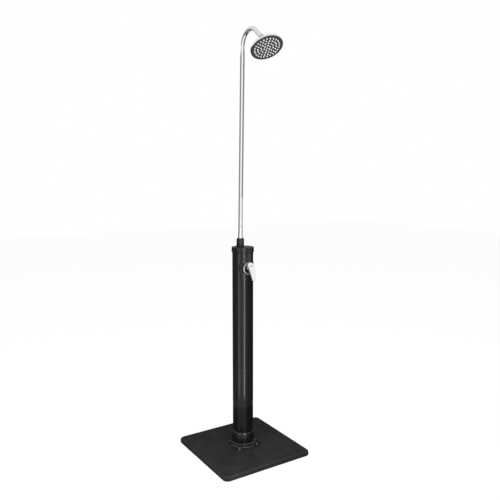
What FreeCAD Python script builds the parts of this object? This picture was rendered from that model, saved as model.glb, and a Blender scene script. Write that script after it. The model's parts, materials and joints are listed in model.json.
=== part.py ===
"""Free-standing outdoor shower post.

A black water tank stands in a bolted foot on a square two-part base plate.
A lever mixer sits on its front, and a chrome riser with a gooseneck carries
a round spray head on a ball joint.

The origin is the middle of the base plate's underside, +Z is up and -Y is
the front, where the mixer and the spray head point.  Lengths are in
millimetres and angles in degrees.
"""
import FreeCAD, Part
import math
import os
import Sketcher

DIMENSIONS = (
    # base plate: two moulded halves that meet on a seam along Y
    ("plate_side", 500),
    ("plate_thick", 24),
    ("plate_corner", 27),
    ("plate_edge_round", 10),
    ("plate_foot_round", 3),
    ("plate_skin", 5),
    ("plate_wall", 12),
    ("plate_rib", 6),
    ("seam_gap", 0.5),
    ("seam_bevel", 1),
    ("dowel_radius", 4),
    ("dowel_length", 60),
    ("dowel_place", 170),
    ("dowel_band", 24),
    ("dowel_clearance", 0.05),
    ("dowel_end_gap", 1),
    # steel backing plate and the four foot bolts
    ("backing_side", 140),
    ("backing_thick", 3),
    ("backing_recess", 14),
    ("backing_clearance", 2),
    ("bolt_place", 54),
    ("bolt_radius", 4),
    ("bolt_length", 30),
    ("bolt_head_radius", 7.5),
    ("bolt_head_thick", 5.3),
    ("bolt_hole_radius", 4.5),
    ("washer_radius", 8),
    ("washer_thick", 1.6),
    ("nut_thick", 6.5),
    # foot flange with its collar, lip and ribs
    ("flange_side", 146),
    ("flange_corner", 12),
    ("flange_thick", 8),
    ("flange_floor", 6),
    ("flange_round", 2),
    ("step_radius", 64),
    ("step_thick", 2),
    ("collar_radius", 57),
    ("collar_rise", 72),
    ("collar_bevel", 7),
    ("lip_radius", 60.5),
    ("lip_rise", 18.5),
    ("lip_thick", 5),
    ("lip_round", 1.2),
    ("mouth_land", 0.8),
    ("foot_rib_inset", 0.5),
    ("foot_rib_width", 4),
    ("foot_rib_angle", 18.5),
    # water tank
    ("tank_radius", 52.5),
    ("tank_wall", 3),
    ("tank_length", 1024),
    ("socket_clearance", 0.2),
    ("tank_floor_thick", 20),
    ("plug_clearance", 0.2),
    ("ring_cord", 1.1),
    ("ring_groove_width", 4),
    ("ring_groove_depth", 2),
    # top cap
    ("cap_thick", 5),
    ("cap_seat_gap", 2),
    ("cap_radius", 55.5),
    ("cap_bead_radius", 56.5),
    ("cap_skirt", 26.5),
    ("cap_bevel", 2),
    ("cap_bead_top", 14.5),
    ("cap_mouth_bevel", 4),
    ("cap_groove", 0.6),
    ("cap_plug_depth", 16),
    ("cap_plug_wall", 4.2),
    # riser fitting on the cap
    ("riser_offset", 24),
    ("riser_lean_angle", 1.5),
    ("gasket_radius", 21),
    ("gasket_thick", 2.5),
    ("socket_flange_radius", 16.8),
    ("socket_flange_thick", 3.5),
    ("socket_radius", 15),
    ("socket_hole_clearance", 1.4),
    ("socket_top", 28),
    ("socket_bottom", 34),
    ("socket_ledge", 20),
    ("socket_waterway", 6),
    ("locknut_flats", 17),
    ("locknut_thick", 8),
    ("thread_clearance", 0.15),
    ("riser_nut_radius", 19),
    ("riser_nut_top", 41),
    ("riser_nut_bevel", 3.5),
    ("riser_nut_lip", 4),
    ("riser_nut_round", 0.9),
    ("riser_seal_thick", 7),
    ("swivel_clearance", 0.3),
    # riser, gooseneck and their hidden joint
    ("riser_radius", 11),
    ("riser_wall", 1.2),
    ("riser_joint", 812),
    ("joint_gap", 0.3),
    ("sleeve_length", 60),
    ("sleeve_wall", 1.6),
    ("sleeve_clearance", 0.1),
    ("bend_start", 964),
    ("bend_radius", 70),
    ("bend_angle", 126.6),
    ("arm_reach", 86.5),
    # ball joint
    ("ball_radius", 10.5),
    ("ball_neck_radius", 5.5),
    ("ball_waterway", 3.2),
    ("stud_collar_radius", 10),
    ("stud_collar_start", 14),
    ("stud_collar_end", 17),
    ("stud_tail", 20),
    ("stud_washer_thick", 1.2),
    ("liner_gap", 0.1),
    ("liner_thick", 1.9),
    ("liner_reach", 5.5),
    # spray head
    ("head_tilt_angle", 20.5),
    ("head_depth", 52),
    ("head_radius", 76),
    ("head_rim", 10),
    ("head_wall", 1.8),
    ("head_round", 2.9),
    ("head_lip_round", 0.6),
    ("head_shoulder", 70),
    ("head_neck_radius", 14.5),
    ("head_neck_start", 27),
    ("head_neck_flare", 21),
    ("head_nut_radius", 17),
    ("head_nut_top", 7.5),
    ("head_nut_skirt", 15),
    ("head_nut_mouth", 11),
    ("head_nut_flare", 12.6),
    ("head_waterway", 5),
    ("face_radius", 73.8),
    ("face_thick", 3),
    ("face_gap", 0.2),
    ("nozzle_rings", 4),
    ("nozzle_step", 14.4),
    ("nozzle_turn_angle", 15),
    ("nozzle_radius", 3.8),
    ("nozzle_tip_radius", 3.3),
    ("nozzle_bore", 0.8),
    ("nozzle_proud", 2.4),
    ("nozzle_clearance", 0.15),
    ("mat_radius", 66),
    ("mat_thick", 1.5),
    ("head_gasket_width", 4),
    ("head_gasket_thick", 2),
    # mixer
    ("mixer_drop", 96),
    ("saddle_radius", 56),
    ("saddle_half", 62),
    ("saddle_flat", 27),
    ("saddle_edge", 0.8),
    ("saddle_inner_width", 47),
    ("saddle_outer_width", 38),
    ("saddle_inner_half", 68),
    ("saddle_outer_half", 60),
    ("saddle_inner_place", 3),
    ("saddle_outer_place", 59),
    ("saddle_gap", 0.1),
    ("boss_radius", 34.5),
    ("boss_front", 55),
    ("valve_radius", 24),
    ("valve_back", 3),
    ("valve_shoulder", 42),
    ("valve_neck_radius", 20.2),
    ("valve_neck_front", 57),
    ("neck_hole_clearance", 0.4),
    ("port_place", 12),
    ("port_radius", 8),
    ("port_reach", 36),
    ("port_inner", 9),
    ("pipe_radius", 5),
    ("pipe_wall", 1.5),
    ("slip_clearance", 0.1),
    ("pipe_insert", 8),
    ("passage_radius", 3),
    ("link_radius", 3.5),
    ("cartridge_radius", 17.5),
    ("cartridge_back", 20.5),
    ("cartridge_front", 50),
    ("cartridge_wall", 2.9),
    ("cartridge_floor", 9.5),
    ("cartridge_lip", 11),
    ("cartridge_fit", 0.2),
    ("cartridge_rim", 2),
    ("disc_thick", 3),
    ("disc_radius", 11),
    ("small_gap", 0.2),
    ("gland_radius", 11.5),
    ("gland_thick", 5),
    ("bezel_radius", 32),
    ("bezel_bore", 23.5),
    ("bezel_thick", 5),
    ("bezel_edge", 2.5),
    ("bezel_web", 2.2),
    ("dust_ring_thick", 1.3),
    # lever
    ("pivot_out", 43),
    ("lever_lift_angle", 22),
    ("driver_clearance", 0.3),
    ("driver_slot", 7.5),
    ("pin_radius", 1.5),
    ("pin_half", 12),
    ("stem_half", 4),
    ("stem_start", -5),
    ("stem_end", 29),
    ("stem_clearance", 0.2),
    ("lever_neck_radius", 10),
    ("lever_neck_start", 18),
    ("lever_neck_sink", 2),
    ("lever_head_radius", 18.2),
    ("lever_back", 26.5),
    ("lever_top_back", 33.5),
    ("lever_top_front", 35.5),
    ("lever_belly", 42.5),
    ("lever_belly_place", 40),
    ("lever_under", 34),
    ("lever_under_place", 50),
    ("lever_throat", 12),
    ("lever_tip_place", 67.5),
    ("lever_tip_radius", 10.5),
    ("lever_tip_front", 38),
    ("lever_tip_back", 32.5),
    ("plug_radius", 5.5),
    ("plug_thick", 2),
    ("plug_face", 39.4),
    ("plug_round", 0.6),
    ("screw_radius", 2),
    ("screw_head_radius", 3.6),
    ("screw_head_thick", 3),
    ("screw_depth", 8),
    ("key_radius", 1.5),
    # water inlet and drain at the back
    ("inlet_height", 175),
    ("inlet_radius", 13.2),
    ("inlet_length", 78),
    ("inlet_bore", 9),
    ("inlet_flange_radius", 18),
    ("inlet_flange_thick", 5),
    ("inlet_round", 1),
    ("inlet_spigot_radius", 8),
    ("thread_bevel", 1),
    ("fitting_seat", 55),
    ("fitting_tail", 34),
    ("inlet_nut_radius", 17),
    ("inlet_nut_thick", 6),
    ("drain_height", 125),
    ("drain_radius", 7.4),
    ("drain_flange_radius", 12),
    ("drain_flange_thick", 3),
    ("drain_bore", 4.6),
    ("drain_tail", 43),
    ("drain_plug_tail", 45),
    ("drain_head_radius", 10),
    ("drain_head_thick", 8),
    ("drain_head_round", 1.3),
    ("flute_radius", 1.5),
    ("flute_out", 0.75),
    ("flute_foot", 1),
    ("cold_bend", 36),
    ("hot_reach", 44),
    ("feed_bend", 16),
)

X_AXIS = FreeCAD.Vector(1, 0, 0)
Y_AXIS = FreeCAD.Vector(0, 1, 0)
Z_AXIS = FreeCAD.Vector(0, 0, 1)
NO_MOVE = FreeCAD.Vector(0, 0, 0)
TOUCH = 0.001
FULL_TURN = 360
HALF_TURN = 180
QUARTER_TURN = 90
HEX_HALF_ANGLE = 30
OVERSHOOT = 1
PLATE_ROWS = 5
FLUTES = 12
CUP_ARC_ANGLE = 40
MOUTH_ARC_ANGLE = 14

doc = FreeCAD.newDocument("OutdoorShowerPost")
sheet = doc.addObject("Spreadsheet::Sheet", "dims")
nodes = []


class Size:
    """A number together with the sheet expression that gives it."""

    def __init__(self, value, text):
        self.value = float(value)
        self.text = text

    def __add__(self, other):
        other = as_size(other)
        return Size(self.value + other.value, "(%s + %s)" % (self.text, other.text))

    def __sub__(self, other):
        other = as_size(other)
        return Size(self.value - other.value, "(%s - %s)" % (self.text, other.text))

    def __mul__(self, other):
        other = as_size(other)
        return Size(self.value * other.value, "(%s * %s)" % (self.text, other.text))

    def __truediv__(self, other):
        other = as_size(other)
        return Size(self.value / other.value, "(%s / %s)" % (self.text, other.text))

    def __radd__(self, other):
        return as_size(other) + self

    def __rsub__(self, other):
        return as_size(other) - self

    def __rmul__(self, other):
        return as_size(other) * self

    def __neg__(self):
        return as_size(0) - self


def as_size(amount):
    """Take a plain number as a size."""
    if isinstance(amount, Size):
        return amount
    return Size(amount, "(%r)" % amount)


def sine(angle):
    angle = as_size(angle)
    return Size(math.sin(math.radians(angle.value)), "sin(%s)" % angle.text)


def cosine(angle):
    angle = as_size(angle)
    return Size(math.cos(math.radians(angle.value)), "cos(%s)" % angle.text)


def root(amount):
    amount = as_size(amount)
    return Size(math.sqrt(amount.value), "sqrt(%s)" % amount.text)


def level_in_round(radius, width):
    """How far out a circle of this radius lies where it is this far aside."""
    return root(radius * radius - width * width)


def fill_sheet():
    """Write the driving dimensions and return them by name."""
    sizes = {}
    for row, (name, value) in enumerate(DIMENSIONS, 1):
        sheet.set("A%d" % row, name)
        sheet.set("B%d" % row, str(value))
        sheet.setAlias("B%d" % row, name)
        sizes[name] = Size(value, "dims." + name)
    doc.recompute()
    return sizes


D = fill_sheet()


def bind(thing, name, amount):
    """Tie a property of a document object to the sheet."""
    thing.setExpression(name, as_size(amount).text)


def place(thing, x=0, y=0, z=0, turn=None):
    """Turn a piece, then move its own zero point to the given place."""
    thing.Placement = FreeCAD.Placement(NO_MOVE, turn or FreeCAD.Rotation())
    for axis, amount in zip("xyz", (x, y, z)):
        bind(thing, "Placement.Base." + axis, amount)
    return thing


ALONG = {
    "+x": FreeCAD.Rotation(Y_AXIS, 90),
    "+y": FreeCAD.Rotation(X_AXIS, -90),
    "-y": FreeCAD.Rotation(X_AXIS, 90),
    "+z": FreeCAD.Rotation(),
}


def rod(name, radius, length, x=0, y=0, z=0, along="+z"):
    """A round bar that starts at the given place."""
    bar = doc.addObject("Part::Cylinder", name)
    bind(bar, "Radius", radius)
    bind(bar, "Height", length)
    return place(bar, x, y, z, ALONG[along])


def block(name, length, width, height, x=0, y=0, z=0):
    """A box centred on x and y that stands on z."""
    bar = doc.addObject("Part::Box", name)
    bind(bar, "Length", length)
    bind(bar, "Width", width)
    bind(bar, "Height", height)
    return place(bar, x - as_size(length) / 2, y - as_size(width) / 2, z)


def hexagon(name, corner_radius, height, x=0, y=0, z=0):
    """A six-sided bar that stands on z."""
    bar = doc.addObject("Part::Prism", name)
    bar.Polygon = 6
    bind(bar, "Circumradius", corner_radius)
    bind(bar, "Height", height)
    return place(bar, x, y, z)


def joined(name, pieces):
    whole = doc.addObject("Part::MultiFuse", name)
    whole.Shapes = pieces
    return whole


def cut(name, base, tools):
    """The base less all the tools."""
    rest = doc.addObject("Part::Cut", name)
    rest.Base = base
    rest.Tool = tools[0] if len(tools) == 1 else joined(name + "_tools", tools)
    return rest


def shared(name, first, second):
    """What two pieces have in common."""
    both = doc.addObject("Part::Common", name)
    both.Base = first
    both.Tool = second
    return both


def group(name, pieces):
    """Equal separate pieces kept as one node."""
    many = doc.addObject("Part::Compound", name)
    many.Links = pieces
    return many


def node(thing, label, frame=None):
    """Name a finished piece and put it in its frame."""
    thing.Label = label
    if frame is not None:
        thing.Placement = frame
    nodes.append(thing)
    return thing


def new_body(name):
    return doc.addObject("PartDesign::Body", name)


def sketch_on(body, role, name):
    """A sketch on one of the body's own origin planes."""
    sketch = body.newObject("Sketcher::SketchObject", name)
    plane = [item for item in body.Origin.OriginFeatures if item.Role == role][0]
    sketch.AttachmentSupport = [(plane, "")]
    sketch.MapMode = "FlatFace"
    return sketch


def pin_point(sketch, shape, end, point):
    """Fix one end of a sketched line or arc at a pair of sizes."""
    for kind, amount in zip(("DistanceX", "DistanceY"), point):
        amount = as_size(amount)
        rule = Sketcher.Constraint(kind, -1, 1, shape, end, amount.value)
        number = sketch.addConstraint(rule)
        sketch.setExpression("Constraints[%d]" % number, amount.text)


def flat_point(point):
    return FreeCAD.Vector(as_size(point[0]).value, as_size(point[1]).value, 0)


def outline(sketch, corners):
    """A closed outline; a corner with a third item starts an arc through that point."""
    first = sketch.GeometryCount
    count = len(corners)
    for index, corner in enumerate(corners):
        start = flat_point(corner)
        end = flat_point(corners[(index + 1) % count])
        if len(corner) == 3:
            sketch.addGeometry(Part.Arc(start, flat_point(corner[2]), end))
        else:
            sketch.addGeometry(Part.LineSegment(start, end))
    ends = []
    for index, corner in enumerate(corners):
        begins_at_first = sketch.getPoint(first + index, 1).isEqual(flat_point(corner), TOUCH)
        ends.append((1, 2) if begins_at_first else (2, 1))
    for index, corner in enumerate(corners):
        after = (index + 1) % count
        sketch.addConstraint(Sketcher.Constraint(
            "Coincident", first + index, ends[index][1], first + after, ends[after][0]))
        pin_point(sketch, first + index, ends[index][0], corner)
    for index, corner in enumerate(corners):
        if len(corner) == 3:
            number = sketch.addGeometry(Part.Point(flat_point(corner[2])), True)
            pin_point(sketch, number, 1, corner[2])
            sketch.addConstraint(Sketcher.Constraint("PointOnObject", number, 1, first + index))


def circle(sketch, x, y, radius):
    """A circle whose middle and radius come from the sheet."""
    middle = flat_point((x, y))
    number = sketch.addGeometry(Part.Circle(middle, Z_AXIS, as_size(radius).value))
    pin_point(sketch, number, 3, (x, y))
    rule = sketch.addConstraint(Sketcher.Constraint("Radius", number, as_size(radius).value))
    sketch.setExpression("Constraints[%d]" % rule, as_size(radius).text)


def rectangle(sketch, x_low, y_low, x_high, y_high):
    outline(sketch, [(x_low, y_low), (x_high, y_low), (x_high, y_high), (x_low, y_high)])


def turned(name, corners):
    """A body of revolution about Z from corners given as radius and height."""
    body = new_body(name)
    sketch = sketch_on(body, "XZ_Plane", name + "_profile")
    outline(sketch, corners)
    turn = body.newObject("PartDesign::Revolution", name + "_turn")
    turn.Profile = sketch
    turn.ReferenceAxis = (sketch, ["V_Axis"])
    turn.Angle = FULL_TURN
    return body


def ring(name, inner, outer, low, high):
    """A plain round ring or tube."""
    return turned(name, [(inner, low), (outer, low), (outer, high), (inner, high)])


def padded(name, role, corners, length, both_ways=False):
    """A body of one pad on an outline."""
    body = new_body(name)
    sketch = sketch_on(body, role, name + "_outline")
    outline(sketch, corners)
    pad = body.newObject("PartDesign::Pad", name + "_pad")
    pad.Profile = sketch
    bind(pad, "Length", length)
    pad.Midplane = both_ways
    return body


def pocket(body, sketch, depth):
    """Cut a sketched outline upward into the body and make sure that it cuts."""
    before = body.Shape.Volume
    hole = body.newObject("PartDesign::Pocket", sketch.Name + "_pocket")
    hole.Profile = sketch
    bind(hole, "Length", depth)
    hole.Reversed = True
    doc.recompute()
    if body.Shape.Volume >= before:
        raise RuntimeError(sketch.Name + " cuts nothing")


def dress(body, kind, name, size_name, amount, test):
    """Round or bevel the edges of the body's last feature that pass a test."""
    doc.recompute()
    base = body.Tip
    names = ["Edge%d" % number for number, edge in enumerate(base.Shape.Edges, 1) if test(edge)]
    if not names:
        raise RuntimeError(name + " finds no edge")
    feature = body.newObject("PartDesign::" + kind, name)
    feature.Base = (base, names)
    bind(feature, size_name, amount)
    doc.recompute()


def near(first, second):
    return abs(as_size(first).value - as_size(second).value) < TOUCH


def is_rim(edge, rims):
    """Whether an edge is one of the circles given as radius and height."""
    if not isinstance(edge.Curve, Part.Circle):
        return False
    for radius, height in rims:
        if near(edge.Curve.Radius, radius) and near(edge.Curve.Center.z, height):
            return True
    return False


def round_rims(body, amount, rims):
    name = body.Name + "_round%d" % len(body.Group)
    dress(body, "Fillet", name, "Radius", amount, lambda edge: is_rim(edge, rims))


def bent_rod(name, radius, rise, bend, turn, reach):
    """A bar that rises along Z, bends towards -Y and runs straight again."""
    start = rod(name + "_rise", radius, rise)
    elbow = doc.addObject("Part::Torus", name + "_bend")
    bind(elbow, "Radius1", bend)
    bind(elbow, "Radius2", radius)
    bind(elbow, "Angle3", turn)
    place(elbow, 0, -as_size(bend), rise, FreeCAD.Rotation(FreeCAD.Vector(1, 1, 1), 120))
    end = rod(name + "_reach", radius, reach)
    drop = bend * (1 - cosine(turn))
    lift = rise + bend * sine(turn)
    place(end, 0, -drop, lift, FreeCAD.Rotation(X_AXIS, as_size(turn).value))
    bind(end, "Placement.Rotation.Angle", turn)
    return joined(name, [start, elbow, end])


def frame_at(x, y, z, turn=0):
    """A frame at a place, turned about X."""
    spot = FreeCAD.Vector(as_size(x).value, as_size(y).value, as_size(z).value)
    return FreeCAD.Placement(spot, FreeCAD.Rotation(X_AXIS, as_size(turn).value))


# ---------------------------------------------------------------- levels and frames

PLATE_TOP = D["plate_thick"]
FLANGE_TOP = PLATE_TOP + D["flange_thick"]
TANK_FOOT = PLATE_TOP + D["flange_floor"]
TANK_TOP = TANK_FOOT + D["tank_length"]
TANK_BORE = D["tank_radius"] - D["tank_wall"]
CAP_UNDER = TANK_TOP + D["cap_seat_gap"]
CAP_TOP = CAP_UNDER + D["cap_thick"]
MIXER_HEIGHT = TANK_TOP - D["mixer_drop"]

BEND_SINE = sine(D["bend_angle"])
BEND_COSINE = cosine(D["bend_angle"])
BALL_SIDE = D["bend_radius"] * (1 - BEND_COSINE) + D["arm_reach"] * BEND_SINE
BALL_RISE = D["bend_start"] + D["bend_radius"] * BEND_SINE + D["arm_reach"] * BEND_COSINE

RISER_FRAME = frame_at(0, D["riser_offset"], CAP_TOP, D["riser_lean_angle"])
LEG_FRAME = RISER_FRAME * frame_at(0, -BALL_SIDE, BALL_RISE, D["bend_angle"] - HALF_TURN)
HEAD_FRAME = LEG_FRAME * frame_at(0, 0, 0, D["head_tilt_angle"])
MIXER_FRAME = frame_at(0, 0, MIXER_HEIGHT, QUARTER_TURN)
LEVER_FRAME = MIXER_FRAME * frame_at(0, 0, D["pivot_out"], -D["lever_lift_angle"])
INLET_FRAME = frame_at(0, 0, D["inlet_height"], -QUARTER_TURN)
DRAIN_FRAME = frame_at(0, 0, D["drain_height"], -QUARTER_TURN)

BOLT_SPOTS = [
    (-D["bolt_place"], -D["bolt_place"]),
    (D["bolt_place"], -D["bolt_place"]),
    (D["bolt_place"], D["bolt_place"]),
    (-D["bolt_place"], D["bolt_place"]),
]


# ---------------------------------------------------------------- base plate

def plate_cells(sketch, sign):
    """The open cells that leave ribs on the underside of one plate half."""
    half = D["plate_side"] / 2
    recess = D["backing_side"] / 2 + D["backing_clearance"]
    low = recess + D["plate_rib"]
    high = half - D["plate_wall"]
    pitch = (2 * high + D["plate_rib"]) / PLATE_ROWS
    for row in range(PLATE_ROWS):
        start = pitch * row - high
        rectangle(sketch, sign * low, start, sign * high, start + pitch - D["plate_rib"])
    near_seam = D["seam_gap"] / 2 + D["plate_wall"]
    band = D["dowel_band"] / 2
    for side in (-1, 1):
        spans = ((low, D["dowel_place"] - band), (D["dowel_place"] + band, high))
        for start, end in spans:
            rectangle(sketch, sign * near_seam, side * start, sign * recess, side * end)


def plate_half(label, sign):
    """One half of the base plate, on the side of X that the sign gives."""
    half = D["plate_side"] / 2
    seam = sign * D["seam_gap"] / 2
    edge = sign * half
    corners = [(seam, -half), (edge, -half), (edge, half), (seam, half)]
    body = padded(label + "_body", "XY_Plane", corners, D["plate_thick"])

    def upright_corner(line):
        middle = line.CenterOfMass
        return near(middle.x, edge) and near(abs(middle.y), half) and near(middle.z, PLATE_TOP / 2)

    def on_level(line, level):
        box = line.BoundBox
        flat = near(box.ZMin, level) and near(box.ZMax, level)
        return flat and not (near(box.XMin, seam) and near(box.XMax, seam))

    def seam_edge(line):
        box = line.BoundBox
        return near(box.ZMin, PLATE_TOP) and near(box.XMin, seam) and near(box.XMax, seam)

    def top_edge(line):
        return on_level(line, PLATE_TOP)

    def foot_edge(line):
        return on_level(line, 0)

    dress(body, "Fillet", label + "_corners", "Radius", D["plate_corner"], upright_corner)
    dress(body, "Fillet", label + "_nose", "Radius", D["plate_edge_round"], top_edge)
    dress(body, "Chamfer", label + "_bevel", "Size", D["seam_bevel"], seam_edge)
    dress(body, "Fillet", label + "_heel", "Radius", D["plate_foot_round"], foot_edge)

    cells = sketch_on(body, "XY_Plane", label + "_cells")
    plate_cells(cells, sign)
    pocket(body, cells, D["plate_thick"] - D["plate_skin"])

    recess = sketch_on(body, "XY_Plane", label + "_recess")
    reach = D["backing_side"] / 2 + D["backing_clearance"]
    rectangle(recess, seam - sign * D["seam_gap"], -reach, sign * reach, reach)
    pocket(body, recess, D["backing_recess"])

    bolts = sketch_on(body, "XY_Plane", label + "_bolt_holes")
    for x, y in BOLT_SPOTS:
        if x.value * sign > 0:
            circle(bolts, x, y, D["bolt_hole_radius"])
    pocket(body, bolts, D["plate_thick"])

    hole_radius = D["dowel_radius"] + D["dowel_clearance"]
    hole_half = D["dowel_length"] / 2 + D["dowel_end_gap"]
    holes = [
        rod("dowel_hole", hole_radius, 2 * hole_half, -hole_half, y, PLATE_TOP / 2, "+x")
        for y in (-D["dowel_place"], D["dowel_place"])
    ]
    node(cut(label + "_drilled", body, holes), label)


def base_plate():
    plate_half("base_plate_left", -1)
    plate_half("base_plate_right", 1)
    dowels = [
        rod("dowel", D["dowel_radius"], D["dowel_length"], -D["dowel_length"] / 2, y, PLATE_TOP / 2, "+x")
        for y in (-D["dowel_place"], D["dowel_place"])
    ]
    node(group("dowel_pair", dowels), "seam_dowels")


def foot_fasteners():
    """Backing plate under the base, bolts and washers above, nuts below."""
    top = D["backing_recess"]
    under = top - D["backing_thick"]
    side = D["backing_side"]
    sheet_steel = block("backing_blank", side, side, D["backing_thick"], 0, 0, under)
    holes = [rod("backing_hole", D["bolt_hole_radius"], top, x, y, 0) for x, y in BOLT_SPOTS]
    node(cut("backing_drilled", sheet_steel, holes), "backing_plate")

    seat = FLANGE_TOP + D["washer_thick"]
    washers = []
    bolts = []
    nuts = []
    for x, y in BOLT_SPOTS:
        disc = rod("washer_disc", D["washer_radius"], D["washer_thick"], x, y, FLANGE_TOP)
        washers.append(cut("washer", disc, [rod("washer_hole", D["bolt_hole_radius"], seat, x, y, 0)]))
        head = hexagon("bolt_head", D["bolt_head_radius"], D["bolt_head_thick"], x, y, seat)
        shank = rod("bolt_shank", D["bolt_radius"], D["bolt_length"], x, y, seat - D["bolt_length"])
        bolts.append(joined("bolt", [head, shank]))
        blank = hexagon("nut_blank", D["bolt_head_radius"], D["nut_thick"], x, y, under - D["nut_thick"])
        bore = rod("nut_bore", D["bolt_radius"] + D["thread_clearance"], seat, x, y, 0)
        nuts.append(cut("nut", blank, [bore]))
    node(group("washer_set", washers), "flange_washers")
    node(group("bolt_set", bolts), "flange_bolts")
    node(group("nut_set", nuts), "flange_nuts")


def base_flange():
    """Square foot flange, its ribbed lip and the collar that holds the tank."""
    square = padded("flange_square", "XY_Plane", square_corners(D["flange_side"] / 2), D["flange_thick"])
    half = D["flange_side"] / 2

    def upright_corner(line):
        middle = line.CenterOfMass
        return near(abs(middle.x), half) and near(abs(middle.y), half)

    def top_edge(line):
        box = line.BoundBox
        return near(box.ZMin, D["flange_thick"]) and near(box.ZMax, D["flange_thick"])

    dress(square, "Fillet", "flange_corners", "Radius", D["flange_corner"], upright_corner)
    dress(square, "Fillet", "flange_rim", "Radius", D["flange_round"], top_edge)

    lip_top = D["lip_rise"] + D["lip_thick"]
    collar_top = D["flange_thick"] + D["collar_rise"]
    mouth = D["tank_radius"] + D["socket_clearance"]
    collar = turned("flange_collar", [
        (0, 0),
        (D["step_radius"], 0),
        (D["step_radius"], D["flange_thick"] + D["step_thick"]),
        (D["collar_radius"], D["flange_thick"] + D["step_thick"]),
        (D["collar_radius"], D["lip_rise"]),
        (D["lip_radius"], D["lip_rise"]),
        (D["lip_radius"], lip_top),
        (D["collar_radius"], lip_top),
        (D["collar_radius"], collar_top - D["collar_bevel"]),
        (mouth + D["mouth_land"], collar_top),
        (mouth, collar_top),
        (mouth, D["flange_floor"]),
        (0, D["flange_floor"]),
    ])
    round_rims(collar, D["lip_round"], [(D["lip_radius"], D["lip_rise"]), (D["lip_radius"], lip_top)])

    ribs = []
    start = (D["collar_radius"] + mouth) / 2
    length = D["step_radius"] - start - D["foot_rib_inset"]
    for quarter in range(4):
        for side in (-1, 1):
            angle = QUARTER_TURN * (quarter + 0.5) + side * D["foot_rib_angle"]
            rib = doc.addObject("Part::Box", "foot_rib")
            bind(rib, "Length", length)
            bind(rib, "Width", D["foot_rib_width"])
            bind(rib, "Height", D["lip_rise"])
            aside = D["foot_rib_width"] / 2
            spin = FreeCAD.Rotation(Z_AXIS, angle.value)
            x = start * cosine(angle) + aside * sine(angle)
            y = start * sine(angle) - aside * cosine(angle)
            place(rib, x, y, 0, spin)
            bind(rib, "Placement.Rotation.Angle", angle)
            ribs.append(rib)

    whole = joined("flange_whole", [square, collar] + ribs)
    holes = [rod("flange_hole", D["bolt_hole_radius"], collar_top, x, y, 0) for x, y in BOLT_SPOTS]
    holes.append(rod("flange_socket", mouth, collar_top, 0, 0, D["flange_floor"]))
    node(cut("flange_drilled", whole, holes), "base_flange", frame_at(0, 0, PLATE_TOP))


def square_corners(half):
    return [(-half, -half), (half, -half), (half, half), (-half, half)]


# ---------------------------------------------------------------- tank

def seal_ring(name, groove_radius, height, label):
    """A round cord ring that fills its groove up to the tank's bore."""
    middle = (groove_radius + TANK_BORE) / 2
    cord = doc.addObject("Part::Torus", name)
    bind(cord, "Radius1", middle)
    bind(cord, "Radius2", D["ring_cord"])
    place(cord, 0, 0, height)
    node(cord, label)


def tank():
    tube = ring("tank_blank", TANK_BORE, D["tank_radius"], TANK_FOOT, TANK_TOP)
    neck_hole = D["valve_neck_radius"] + D["neck_hole_clearance"]
    reach = D["tank_radius"] + OVERSHOOT
    fit = D["neck_hole_clearance"]
    holes = [
        rod("mixer_hole", neck_hole, reach, 0, 0, MIXER_HEIGHT, "-y"),
        rod("inlet_hole", D["inlet_radius"] + fit, reach, 0, 0, D["inlet_height"], "+y"),
        rod("drain_hole", D["drain_radius"] + fit, reach, 0, 0, D["drain_height"], "+y"),
    ]
    node(cut("tank_drilled", tube, holes), "tank_tube")

    outer = TANK_BORE - D["plug_clearance"]
    groove = outer - D["ring_groove_depth"]
    top = TANK_FOOT + D["tank_floor_thick"]
    middle = (TANK_FOOT + top) / 2
    low = middle - D["ring_groove_width"] / 2
    high = middle + D["ring_groove_width"] / 2
    floor = turned("tank_floor_body", [
        (0, TANK_FOOT),
        (outer, TANK_FOOT),
        (outer, low),
        (groove, low),
        (groove, high),
        (outer, high),
        (outer, top),
        (0, top),
    ])
    node(floor, "tank_floor")
    seal_ring("floor_ring", groove, middle, "floor_seal")


def top_cap():
    """Cap with a beaded skirt outside the tank and a sealed plug inside it."""
    skirt = D["tank_radius"] + D["socket_clearance"]
    foot = CAP_TOP - D["cap_skirt"]
    bead_top = CAP_TOP - D["cap_bead_top"]
    plug = TANK_BORE - D["plug_clearance"]
    plug_foot = CAP_UNDER - D["cap_plug_depth"]
    groove = plug - D["ring_groove_depth"]
    low = plug_foot + D["ring_groove_width"]
    high = low + D["ring_groove_width"]
    cap = turned("cap_body", [
        (0, CAP_UNDER),
        (plug - D["cap_plug_wall"], CAP_UNDER),
        (plug - D["cap_plug_wall"], plug_foot),
        (plug, plug_foot),
        (plug, low),
        (groove, low),
        (groove, high),
        (plug, high),
        (plug, TANK_TOP),
        (skirt, TANK_TOP),
        (skirt, foot),
        (skirt + D["mouth_land"], foot),
        (D["cap_bead_radius"], foot + D["cap_mouth_bevel"]),
        (D["cap_bead_radius"], bead_top - D["cap_bevel"] / 2),
        (D["cap_radius"] - D["cap_groove"], bead_top),
        (D["cap_radius"] - D["cap_groove"], bead_top + D["cap_bevel"]),
        (D["cap_radius"], bead_top + D["cap_bevel"] * 3 / 2),
        (D["cap_radius"], CAP_TOP),
        (0, CAP_TOP),
    ])
    round_rims(cap, D["cap_bevel"], [(D["cap_radius"], CAP_TOP)])
    hole = D["socket_radius"] + D["socket_hole_clearance"]
    opening = rod("cap_opening", hole, CAP_TOP, 0, D["riser_offset"], CAP_UNDER - D["cap_thick"])
    node(cut("cap_drilled", cap, [opening]), "top_cap")
    seal_ring("cap_ring", groove, (low + high) / 2, "cap_seal")


# ---------------------------------------------------------------- riser fitting

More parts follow.
